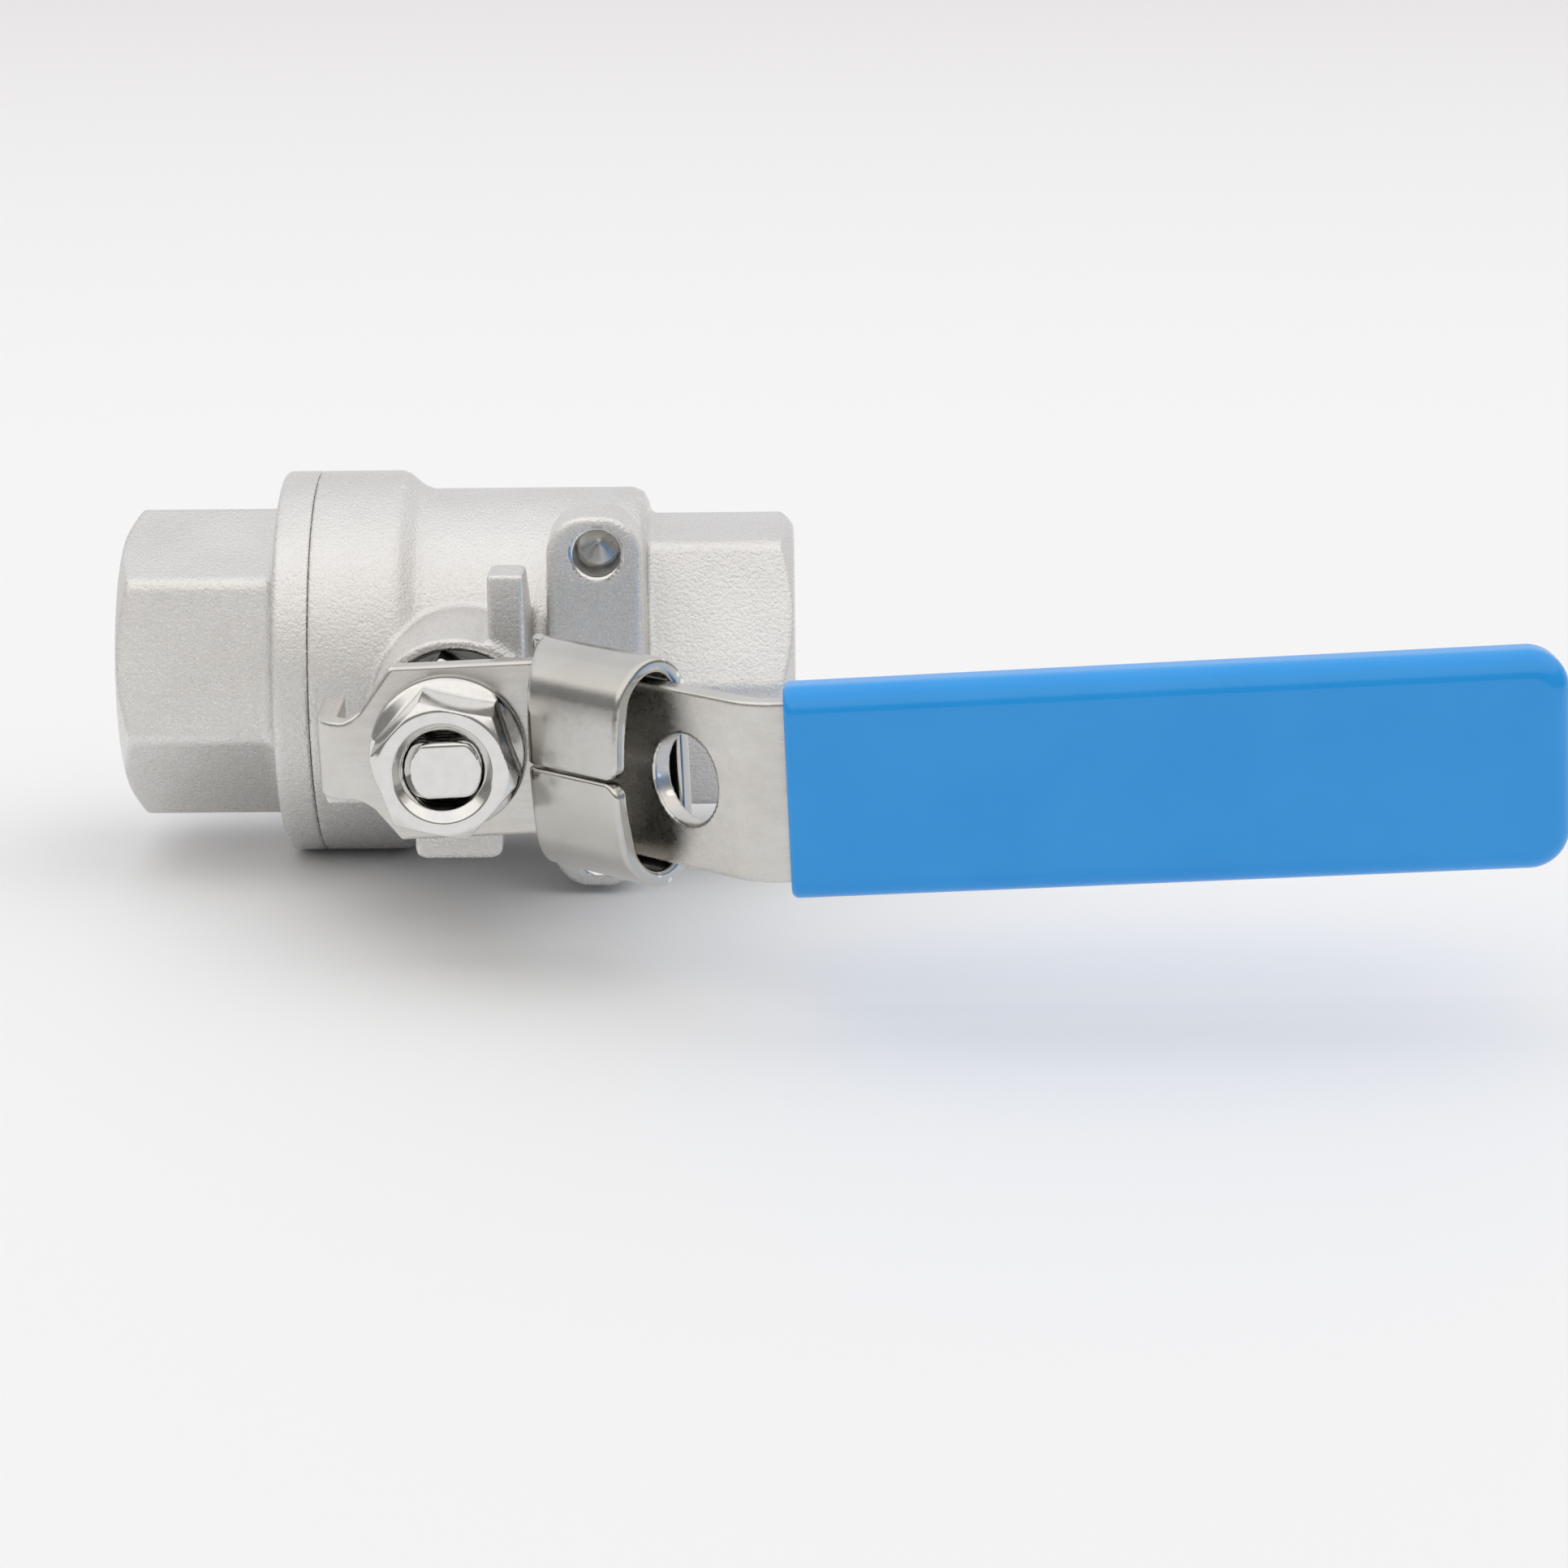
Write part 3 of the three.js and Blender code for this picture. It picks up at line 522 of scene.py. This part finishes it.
def end_cap(x, y, z):
    radius = np.hypot(y, z)
    flange_x = SEAM - CAP_FLANGE_LENGTH
    flange = common(radius - FLANGE_RADIUS, flange_x - x, 0.9)
    flange = common(flange, x - SEAM - SEAM_FILL, 0.2)
    shank = common(radius - CAP_SHANK_RADIUS, slab(x, flange_x, CAP_SHANK_END), 0.4)
    outside = pipe_hexagon(x, y, z, CAP_END, flange_x + 1.5, -1, CAP_HEX_CORNER)
    outside = union(union(outside, flange, 2.2), shank)
    port = common(radius - PORT_RADIUS, slab(x, -30, 0), 0.3)
    pocket = common(radius - SEAT_POCKET_RADIUS, slab(x, -18, 0))
    inside = union(union(port, pocket), pipe_bore(x, y, z, CAP_END, -1))
    return cut(outside, inside, 0.25)


def lug(x, y, z, direction, reach, across, top, tip, root, heel, corner):
    """A finger on the side of the boss with a gusset beneath it, which stands on an upright heel."""
    out, aside = turn_to(x, y, direction)
    side = polygon(
        out,
        z,
        [(5, top - root), (heel[0], top - root), heel, (reach, top - tip), (reach, top), (5, top)],
    )
    return common(side, rectangle(out, aside, (3, reach), across, corner), 0.7)


STOP = {"top": 39, "tip": 7, "root": 19, "heel": (11.7, 20.5), "corner": 0.9}
TAB = {
    "top": 45.5,
    "tip": 9,
    "root": 22,
    "heel": (12.9, 30),
    "corner": 1.5,
    "reach": 15.9,
    "across": (-5.05, 6.05),
}


def body_outside(x, y, z):
    pipe_radius, stem_radius = np.hypot(y, z), np.hypot(x, y)
    barrel = turned(
        x,
        pipe_radius,
        [
            (SEAM + SEAM_FILL + SEAM_LINE, FLANGE_RADIUS - 0.2),
            (SEAM + SEAM_FILL + 0.2 + SEAM_LINE, FLANGE_RADIUS),
            (-9.4, FLANGE_RADIUS),
            (-8.4, FLANGE_RADIUS - 0.4),
            (-6.5, BARREL_RADIUS + 0.5),
            (-5.2, BARREL_RADIUS),
            (21.9, BARREL_RADIUS),
            (23.3, BARREL_RADIUS - 0.6),
            (24.06, BARREL_RADIUS - 2),
            (24.06, 10),
        ],
    )
    solid = union(barrel, pipe_hexagon(x, y, z, 20, BODY_END, 1, BODY_HEX_CORNER), 0.9)
    boss = common(stem_radius - BOSS_RADIUS, slab(z, 12, BOSS_TOP), 0.6)
    solid = union(solid, boss, 0.8)
    ears = rectangle(x, y, EAR_X, (-EAR_REACH, EAR_REACH), EAR_CORNER)
    solid = union(solid, common(ears, slab(z, *EAR_Z), 0.8), 1.0)
    stops = np.minimum(
        lug(x, y, z, 90, reach=20, across=(-9.1, -4.4), **STOP),
        lug(x, y, z, 180, reach=17.2, across=(6.9, 10.2), **STOP),
    )
    tabs = np.minimum(lug(x, y, z, 0, **TAB), lug(x, y, z, -90, **TAB))
    return union(union(solid, stops, 1.0), tabs, 1.0)


def valve_body(x, y, z):
    pipe_radius, stem_radius = np.hypot(y, z), np.hypot(x, y)
    cavity = turned(
        x,
        pipe_radius,
        [
            (-30, 22.6),
            (-11, 22.6),
            (-11, CAVITY_RADIUS),
            (9.8, CAVITY_RADIUS),
            (9.8, SEAT_POCKET_RADIUS),
            (18, SEAT_POCKET_RADIUS),
            (18, PORT_RADIUS),
            (28, PORT_RADIUS),
        ],
    )
    stem_bore = turned(
        z,
        stem_radius,
        [(10, 8.7), (22.5, 8.7), (22.5, 6.4), (26, 6.4), (26, 9), (32.7, 9), (32.7, 10.4), (60, 10.4)],
    )
    inside = union(union(cavity, stem_bore), pipe_bore(x, y, z, BODY_END, 1))
    solid = cut(body_outside(x, y, z), inside, 0.25)
    hole_radius = np.hypot(x - EAR_HOLE[0], np.abs(y) - EAR_HOLE[1])
    return cut(solid, turned(z, hole_radius, EAR_HOLE_PROFILE), 0.15)


def body_machined(x, y, z):
    """Which places of the body are turned or drilled after casting."""
    pipe_radius, stem_radius = np.hypot(y, z), np.hypot(x, y)
    socket = (pipe_radius < 17.7) & (x > BODY_END - 0.4) | (pipe_radius < 16.95) & (x > 15)
    recess = (stem_radius < 10.5) & (z > 25)
    drilled = np.hypot(x - EAR_HOLE[0], np.abs(y) - EAR_HOLE[1]) < 3.6
    return socket | recess | drilled & (z < 26.95)


def cap_machined(x, y, z):
    """Which places of the cap are turned after casting."""
    pipe_radius = np.hypot(y, z)
    return (pipe_radius < 17.7) & (x < CAP_END + 0.4) | (pipe_radius < 16.95)


# ---- Stem, ball and nuts ------------------------------------------------------------------------
FLANK = 0.7  # scales a field to the slope of the stem thread


def stem(x, y, z):
    radius, angle = np.hypot(x, y), np.arctan2(y, x)
    shaft = turned(
        z,
        radius,
        [
            (15.4, 7.2),
            (TANG_TOP, 8.4),
            (21, 8.4),
            (21, 6),
            (23.2, 6),
            (23.2, 4.6),
            (25, 4.6),
            (25, 6),
            (48.6, 6),
            (STEM_FLATS_Z, 5.6),
            (STEM_FLATS_Z, 4.1),
            (61, 4.1),
            (STEM_TOP, 3.6),
        ],
    )
    top = common(radius - STEM_THREAD_RADIUS, slab(z, 40, STEM_TOP), 0.75)
    groove = (radius - STEM_THREAD_RADIUS + thread(z, angle, STEM_PITCH, STEM_THREAD_DEPTH)) * FLANK
    solid = union(shaft, common(top, groove, 0.1))
    beside_flats = np.maximum(STEM_HALF_FLATS - np.abs(y), STEM_FLATS_Z - z)
    beside_tang = np.maximum(TANG_HALF_WIDTH - np.abs(x), z - TANG_TOP)
    return cut(cut(solid, beside_flats, 0.7), beside_tang, 0.2)


def hex_nut(x, y, z, apothem, low, high, first_corner):
    """A nut without its bore, with a 30 degree chamfer round its top."""
    radius = np.hypot(x, y)
    solid = common(hexagon(x, y, apothem, 0.35, first_corner), slab(z, low, high), 0.15)
    slope = math.pi / 6
    crown = apothem - 0.1
    cone = ((z - high) + (radius - crown) * math.tan(slope)) * math.cos(slope)
    return common(solid, cone, 0.12)


def nut_bore(x, y, z, minor, low, high, mouth):
    """A threaded bore with a chamfer at both ends."""
    radius, angle = np.hypot(x, y), np.arctan2(y, x)
    hole = (radius - minor - thread(z, angle, STEM_PITCH, NUT_THREAD_DEPTH)) * FLANK
    mouths = np.minimum(radius - mouth + (high - z), radius - mouth + (z - low)) * math.sqrt(0.5)
    return np.minimum(hole, mouths)


def lever_nut(x, y, z):
    low, high = LEVER_NUT["low"], LEVER_NUT["high"]
    solid = hex_nut(x, y, z, first_corner=math.radians(45.3), **LEVER_NUT)
    profile = [(low, 9.6), (52.55, 9.85), (53.4, 9.85), (53.7, 9.6), (54.9, 7.4)]
    solid = union(solid, turned(z, np.hypot(x, y), profile), 0.35)
    return cut(solid, nut_bore(x, y, z, 5.0, low, high, 6.35), 0.12)


def gland_nut(x, y, z):
    solid = hex_nut(x, y, z, first_corner=math.radians(97), **GLAND_NUT)
    return cut(solid, nut_bore(x, y, z, 6.3, GLAND_NUT["low"], GLAND_NUT["high"], 7.0), 0.12)


def ball(x, y, z):
    half_width, half_length, floor = BALL_SLOT
    solid = np.sqrt(x * x + y * y + z * z) - BALL_RADIUS
    solid = cut(solid, np.hypot(y, z) - BALL_BORE_RADIUS, 0.4)
    slot = np.maximum(np.maximum(np.abs(x) - half_width, np.abs(y) - half_length), floor - z)
    vent = np.maximum(np.hypot(x, y) - BALL_VENT_RADIUS, -z)
    return cut(cut(solid, slot, 0.2), vent, 0.15)


# ---- Lever, lock slide and grip -----------------------------------------------------------------
def rounded_path(corners):
    """Straight stretches and arcs of a bent strip, from its corners as (x, z, bend radius).

    Gives lists of (start, end) and of (centre, radius, arriving direction, leaving direction).
    """
    points = [np.array(corner[:2], float) for corner in corners]
    radii = [corner[2] for corner in corners[1:-1]]
    lines, arcs = [], []
    start = points[0]
    for before, here, after, radius in zip(points, points[1:], points[2:], radii):
        arriving = (here - before) / np.linalg.norm(here - before)
        leaving = (after - here) / np.linalg.norm(after - here)
        turn = math.atan2(arriving[0] * leaving[1] - arriving[1] * leaving[0], arriving @ leaving)
        inset = radius * math.tan(abs(turn) / 2)
        normal = np.array([-arriving[1], arriving[0]]) * math.copysign(1, turn)
        lines.append((start, here - arriving * inset))
        arcs.append((here - arriving * inset + normal * radius, radius, arriving, leaving))
        start = here + leaving * inset
    lines.append((start, points[-1]))
    return lines, arcs


def strip(u, v, corners, thickness):
    """A strip bent along a path, seen from its edge."""
    lines, arcs = rounded_path(corners)
    best = np.full(np.shape(u), np.inf)
    for a, b in lines:
        along = (b - a) / np.linalg.norm(b - a)
        du, dv = u - a[0], v - a[1]
        t = np.clip(du * along[0] + dv * along[1], 0, np.linalg.norm(b - a))
        best = np.minimum(best, np.hypot(du - t * along[0], dv - t * along[1]))
    for centre, radius, arriving, leaving in arcs:
        du, dv = u - centre[0], v - centre[1]
        within = (du * arriving[0] + dv * arriving[1] >= 0) & (du * leaving[0] + dv * leaving[1] <= 0)
        best = np.where(within, np.minimum(best, np.abs(np.hypot(du, dv) - radius)), best)
    return best - thickness / 2


def on_incline(x, z):
    """How far behind the front face of the inclined part a point is, and how far up it."""
    front_x = LOWER_BEND_X + SHEET / 2 * (1 / math.tan(INCLINE) - 1 / math.sin(INCLINE))
    dx, dz = x - front_x, z - (PLATE_Z + SHEET / 2)
    behind = dx * math.sin(INCLINE) - dz * math.cos(INCLINE)
    along = dx * math.cos(INCLINE) + dz * math.sin(INCLINE)
    return behind, along


def lever(x, y, z):
    path = [
        (LEG_X, LEG_FOOT - 4, 0),
        (LEG_X, PLATE_Z, BEND_RADIUS),
        (LOWER_BEND_X, PLATE_Z, BEND_RADIUS),
        (UPPER_BEND_X, GRIP_Z, GRIP_BEND_RADIUS),
        (140, GRIP_Z, 0),
    ]
    side = strip(x, z, path, SHEET)
    side = common(side, LEG_FOOT - z, 0.4)
    plate = polygon(
        x,
        np.abs(y),
        [(-6.4, 10.7), (45, 10.7), (129, 11.0), (132.5, 7.5), (132.5, -5), (-11.4, -5), (-11.4, 4.2)],
    ) - 0.5
    arm = rectangle(x, y, (-30, -5), ARM_SIDES)
    outline = union(plate, arm, 1.6)
    solid = common(side, outline, 0.45)
    behind, along = on_incline(x, z)
    hole_radius = np.hypot(along - LOCK_HOLE_ALONG, y)
    hole = np.maximum(hole_radius - LOCK_HOLE_RADIUS, np.abs(behind) - 8)
    solid = cut(solid, hole, 0.3)
    stem_hole = common(np.hypot(x, y) - 5.3, np.abs(y) - 4.0, 0.2)
    return cut(solid, np.maximum(stem_hole, np.abs(z - PLATE_Z) - 6), 0.2)


def lock_slide(x, y, z):
    """A flattened ring of sheet round the incline, slit up its crowned front and notched at its foot."""
    behind, along = on_incline(x, z)
    offset = behind - SLIDE_CENTRE
    crown = SLIDE_CROWN * (1 - np.minimum(np.abs(y) / SLIDE_CROWN_REACH, 1) ** 2)
    offset = offset + crown * np.clip(-offset / SLIDE_HALF_THICKNESS, 0, 1)
    straight = SLIDE_HALF_WIDTH - SLIDE_HALF_THICKNESS
    half_wall = SLIDE_WALL / 2
    radius = np.hypot(offset, np.maximum(np.abs(y) - straight, 0))
    wall = np.abs(radius - (SLIDE_HALF_THICKNESS - half_wall)) - half_wall
    top = along - SLIDE_TOP_ALONG
    front_cut = polygon(x, z, [(10.6, 60.5), (14.2, 46), (20, 30), (-30, 30), (-30, 90), (10.6, 90)])
    front_cut = np.maximum(front_cut, behind)
    foot = SLIDE_FOOT - z
    notch_sides = (-SLIDE_NOTCH_HALF_WIDTH, SLIDE_NOTCH_HALF_WIDTH)
    notch = np.maximum(rectangle(y, z, notch_sides, (20, SLIDE_NOTCH_TOP), 1.0), -behind)
    slit = np.maximum(np.abs(y) - SLIDE_HALF_SLIT, behind)
    vee = np.maximum((np.abs(y) * 1.1 - (along - SLIDE_VEE_ALONG)) * 0.67, behind)
    side_ends = np.maximum(x - SLIDE_SIDE_X, z - SLIDE_SIDE_TOP)
    solid = cut(common(wall, top, 0.6), side_ends, 0.6)
    solid = common(solid, foot, 0.6)
    solid = cut(cut(solid, front_cut, 0.6), notch, 0.6)
    return cut(cut(solid, slit, 0.45), vee, 0.5)


def lever_grip(x, y, z):
    """A dipped sleeve, open at its near end, that gets slightly wider towards its far end."""
    half = GRIP_HALF_WIDTH + GRIP_FLARE * np.clip((x - GRIP_START) / GRIP_FLARE_LENGTH, 0, 1)
    spread = np.abs(y) * GRIP_HALF_WIDTH / half
    height = np.abs(z - GRIP_Z)
    outline = rectangle(x, spread, (30, GRIP_END), (-GRIP_HALF_WIDTH, GRIP_HALF_WIDTH), GRIP_CORNER)
    solid = common(outline, height - GRIP_HEIGHT / 2, GRIP_ROUNDING)
    solid = common(solid, GRIP_START - x, 0.9)
    sides = (-GRIP_POCKET_HALF_WIDTH, GRIP_POCKET_HALF_WIDTH)
    inner = rectangle(x, spread, (30, GRIP_POCKET_END), sides, GRIP_POCKET_CORNER)
    return cut(solid, np.maximum(inner, height - GRIP_POCKET_HALF_HEIGHT), 0.3)


# ---- Materials ----------------------------------------------------------------------------------
class Nodes:
    """A material's node tree, with short calls to add and join its nodes."""

    def __init__(self, name):
        self.material = bpy.data.materials.new(name)
        self.material.use_nodes = True
        self.tree = self.material.node_tree
        self.shader = self.tree.nodes["Principled BSDF"]
        self.place = self.add("ShaderNodeTexCoord").outputs["Object"]

    def add(self, kind, **values):
        node = self.tree.nodes.new(kind)
        for key, value in values.items():
            setattr(node, key, value)
        return node

    def join(self, source, target):
        self.tree.links.new(source, target)

    def stretched(self, scale):
        """Object coordinates with a scale of their own along each axis."""
        mapping = self.add("ShaderNodeMapping")
        mapping.inputs["Scale"].default_value = scale
        self.join(self.place, mapping.inputs["Vector"])
        return mapping.outputs["Vector"]

    def noise(self, scale, detail, roughness, vector=None):
        node = self.add("ShaderNodeTexNoise")
        node.inputs["Scale"].default_value = scale
        node.inputs["Detail"].default_value = detail
        node.inputs["Roughness"].default_value = roughness
        self.join(vector or self.place, node.inputs["Vector"])
        return node.outputs["Fac"]

    def ramp(self, source, stops):
        """A ramp through (place, colour or grey value) stops."""
        node = self.add("ShaderNodeValToRGB")
        elements = node.color_ramp.elements
        while len(elements) < len(stops):
            elements.new(0.5)
        for element, (place, colour) in zip(elements, stops):
            element.position = place
            element.color = (*colour, 1) if isinstance(colour, tuple) else (colour, colour, colour, 1)
        self.join(source, node.inputs["Fac"])
        return node.outputs["Color"]

    def spread(self, source, low, high, start=0.3, end=0.7):
        """From low to high over the middle of a noise."""
        return self.ramp(source, [(start, low), (end, high)])

    def edge_wear_and_highlight(self, source, colour, start=0.53, full=0.60):
        """Changes a colour to another one along the sharp outer edges; a lighter base colour there is a
        painted highlight, a lower roughness there is real polish.
        """
        edge = self.add("ShaderNodeNewGeometry").outputs["Pointiness"]
        mask = self.ramp(edge, [(start, 0.0), (full, 1.0)])
        mix = self.add("ShaderNodeMix", data_type="RGBA")
        self.join(mask, mix.inputs["Factor"])
        self.join(source, mix.inputs["A"])
        mix.inputs["B"].default_value = (*colour, 1)
        return mix.outputs["Result"]

    def bump(self, height, strength, distance, below=None):
        node = self.add("ShaderNodeBump")
        node.inputs["Strength"].default_value = strength
        node.inputs["Distance"].default_value = distance
        self.join(height, node.inputs["Height"])
        if below is not None:
            self.join(below, node.inputs["Normal"])
        return node.outputs["Normal"]

    def finish(self, colour=None, roughness=None, normal=None):
        for source, name in ((colour, "Base Color"), (roughness, "Roughness"), (normal, "Normal")):
            if source is not None:
                self.join(source, self.shader.inputs[name])
        return self.material


def grey(value):
    return (value, value, value)


def metal(name):
    m = Nodes(name)
    m.shader.inputs["Metallic"].default_value = 1
    return m


def cast_steel():
    """Shot-blasted casting: a sandy grain with broad stains, and edges that tumbling has polished; their
    lighter colour is a painted highlight.
    """
    m = metal("cast_steel")
    grain = m.noise(scale=2300, detail=4, roughness=0.65)
    swell = m.noise(scale=420, detail=3, roughness=0.5)
    stain = m.noise(scale=60, detail=3, roughness=0.5)
    colour = m.spread(stain, (0.78, 0.765, 0.745), (0.86, 0.85, 0.835))
    # Painted highlight: the sharp edges get a lighter base colour; their lower roughness is real polish.
    colour = m.edge_wear_and_highlight(colour, (0.93, 0.92, 0.90))
    roughness = m.edge_wear_and_highlight(m.spread(grain, 0.20, 0.40), grey(0.18))
    normal = m.bump(swell, strength=0.12, distance=0.0006)
    normal = m.bump(grain, strength=0.95, distance=0.0002, below=normal)
    return m.finish(colour, roughness, normal)


def sheet_steel(name, dark, light, smooth, rough):
    """Tumbled stainless sheet: faint long scratches, fine pits and a soft sheen."""
    m = metal(name)
    scratches = m.noise(scale=900, detail=5, roughness=0.7, vector=m.stretched((0.12, 1, 1)))
    cloud = m.noise(scale=120, detail=4, roughness=0.6)
    grain = m.noise(scale=2000, detail=3, roughness=0.6)
    # Painted highlight: the sharp edges get a lighter base colour; their lower roughness is real polish.
    colour = m.edge_wear_and_highlight(m.spread(cloud, dark, light), (0.90, 0.89, 0.87))
    roughness = m.edge_wear_and_highlight(m.spread(scratches, smooth, rough), grey(0.14))
    normal = m.bump(scratches, strength=0.06, distance=0.00005)
    normal = m.bump(grain, strength=0.05, distance=0.00005, below=normal)
    return m.finish(colour, roughness, normal)


def turned_steel(name, smooth, rough):
    """Turned or drilled stainless steel, with faint marks."""
    m = metal(name)
    marks = m.noise(scale=700, detail=5, roughness=0.7)
    colour = m.spread(marks, (0.74, 0.73, 0.71), (0.82, 0.815, 0.80))
    roughness = m.spread(marks, smooth, rough, end=0.75)
    return m.finish(colour, roughness, m.bump(marks, strength=0.08, distance=0.00008))


def dark_spring_steel():
    """Spring steel with the dull skin of its heat treatment."""
    m = metal("spring_steel")
    marks = m.noise(scale=800, detail=4, roughness=0.6)
    colour = m.spread(marks, (0.42, 0.41, 0.40), (0.52, 0.51, 0.50))
    roughness = m.spread(marks, 0.28, 0.42)
    return m.finish(colour, roughness, m.bump(marks, strength=0.1, distance=0.00008))


def ptfe():
    """White, waxy fluoroplastic."""
    m = Nodes("ptfe")
    cloud = m.noise(scale=300, detail=4, roughness=0.6)
    colour = m.spread(cloud, (0.82, 0.82, 0.80), (0.88, 0.88, 0.87))
    roughness = m.spread(cloud, 0.42, 0.55)
    return m.finish(colour, roughness, m.bump(cloud, strength=0.08, distance=0.0001))


def seal_rubber():
    """Black, slightly grainy rubber."""
    m = Nodes("seal_rubber")
    grain = m.noise(scale=1500, detail=3, roughness=0.6)
    colour = m.spread(grain, grey(0.015), grey(0.03))
    roughness = m.spread(grain, 0.5, 0.65)
    return m.finish(colour, roughness, m.bump(grain, strength=0.1, distance=0.0001))


def blue_vinyl():
    """Dipped vinyl: glossy with a slightly wavy skin."""
    m = Nodes("blue_vinyl")
    wave = m.noise(scale=90, detail=2, roughness=0.4)
    fine = m.noise(scale=1400, detail=3, roughness=0.5)
    colour = m.spread(wave, (0.017, 0.330, 0.84), (0.021, 0.345, 0.86), start=0.35, end=0.65)
    roughness = m.spread(fine, 0.08, 0.12)
    return m.finish(colour, roughness, m.bump(wave, strength=0.10, distance=0.0008))


def table_with_painted_shade():
    """A pale table with painted shade that darkens it towards the back, which can't be seen from beneath.
    """
    m = Nodes("table")
    split = m.add("ShaderNodeSeparateXYZ")
    m.join(m.place, split.inputs["Vector"])
    depth = m.add("ShaderNodeMapRange")
    depth.inputs["From Min"].default_value, depth.inputs["From Max"].default_value = TABLE_SHADE_SPAN
    m.join(split.outputs["Y"], depth.inputs["Value"])
    # near is the table's own pale colour; far is that colour darkened by painted shade.
    near, far = (0.875, 0.88, 0.89), (0.79, 0.775, 0.785)
    colour = m.spread(depth.outputs["Result"], near, far, start=0.0, end=1.0)
    m.shader.inputs["Roughness"].default_value = 0.6
    clear = m.add("ShaderNodeBsdfTransparent")
    mix = m.add("ShaderNodeMixShader")
    m.join(m.add("ShaderNodeNewGeometry").outputs["Backfacing"], mix.inputs["Fac"])
    m.join(m.shader.outputs["BSDF"], mix.inputs[1])
    m.join(clear.outputs["BSDF"], mix.inputs[2])
    m.join(mix.outputs["Shader"], m.tree.nodes["Material Output"].inputs["Surface"])
    return m.finish(colour)


# ---- The scene ----------------------------------------------------------------------------------
make_camera()

cast = cast_steel()
sheet = sheet_steel("sheet_steel", (0.63, 0.61, 0.575), (0.71, 0.695, 0.665), smooth=0.22, rough=0.34)
# A darker copy of the sheet steel for the lock slide: its darker colours are painted shade; its smoother
# finish is real.
collar_shaded_steel = sheet_steel("collar_steel_painted_shade", (0.56, 0.545, 0.515), (0.62, 0.61, 0.58), smooth=0.14, rough=0.24)
bright = turned_steel("bright_steel", smooth=0.07, rough=0.17)
machined = turned_steel("machined_steel", smooth=0.14, rough=0.28)
vinyl = blue_vinyl()

piece = boxed_piece("body_casting", valve_body, (-21, -26, -26), (44, 26, 46), 0.45)
install(piece, "valve_body", "valve", cast)
polish(piece, body_machined, machined)

piece = boxed_piece("cap_casting", end_cap, (-47, -26, -26), (-12.5, 26, 26), 0.42)
install(piece, "end_cap", "valve", cast)
polish(piece, cap_machined, machined)

# Turned pieces that move with the lever: name, node, field, two corners of the grid and its step
TURNED = [
    ("stem_turned", "stem", stem, (-8.5, -8.5, 15.4), (8.5, 8.5, 61.8), 0.24),
    ("ball_bored", "ball", ball, (-19, -19, -19), (19, 19, 19), 0.5),
    ("nut_flanged", "lever_nut", lever_nut, (-10, -10, 52.3), (10, 10, 62.8), 0.19),
    ("nut_gland", "gland_nut", gland_nut, (-10, -10, 36.5), (10, 10, 42.6), 0.26),
]
for name, node, field, low, high, step in TURNED:
    piece = boxed_piece(name, field, low, high, step, REST_ANGLE)
    install(piece, node, "lever", bright)

piece = boxed_piece("collar_folded", lock_slide, (6, -14.5, 46), (32, 14.5, 73), 0.26, REST_ANGLE)
install(piece, "lock_slide", "lock_slide", collar_shaded_steel)

# The long pieces have wider steps where their sides are straight
step = 0.34 * COARSE
xs = grid(-17.5, 134, step, [(48, 126, 2.0)])
ys = grid(-12.8, 12.8, step)
zs = grid(34.3, 81, step)
piece = field_piece("lever_bent", lever, xs, ys, zs, step, REST_ANGLE)
install(piece, "lever", "lever", sheet)

step = 0.4 * COARSE
xs = grid(41.8, 137, step, [(50, 126, 1.6)])
ys = grid(-15, 15, step)
zs = grid(73.5, 83.8, step)
piece = field_piece("grip_dipped", lever_grip, xs, ys, zs, step, REST_ANGLE)
install(piece, "lever_grip", "lever", vinyl)

finishes = {
    "ptfe": ptfe(),
    "seal_rubber": seal_rubber(),
    "spring_steel": dark_spring_steel(),
    "turned_steel": bright,
    "cast_steel": cast,
    "sheet_steel": sheet,
    "vinyl": vinyl,
}
slots = {row["node"]: row["material_slot"] for row in frame["record"]["subparts"]}
for name, node in frame["nodes"].items():
    node.data.materials.clear()
    node.data.materials.append(finishes[slots[name]])

# The table that the valve lies on, just clear of its flange
table_y = -FLANGE_RADIUS * MM - TABLE_GAP
bpy.ops.mesh.primitive_plane_add(
    size=1,
    location=(0, table_y, TABLE_CENTRE_Z),
    rotation=(-math.pi / 2, 0, 0),
)
table = bpy.context.object
table.scale = (*TABLE_SIZE, 1)
bpy.ops.object.transform_apply(location=False, rotation=False, scale=True)
table.name = "table"
table.data.materials.append(table_with_painted_shade())

soft_light(
    "overhead",
    place=(0.05, 1.4, -0.35),
    aim=(0.03, 0, 0.03),
    size=(2.2, 1.6),
    watts=4.5,
    colour=(0.96, 0.98, 1),
)
make_room()
bpy.context.scene.view_settings.view_transform = "Standard"
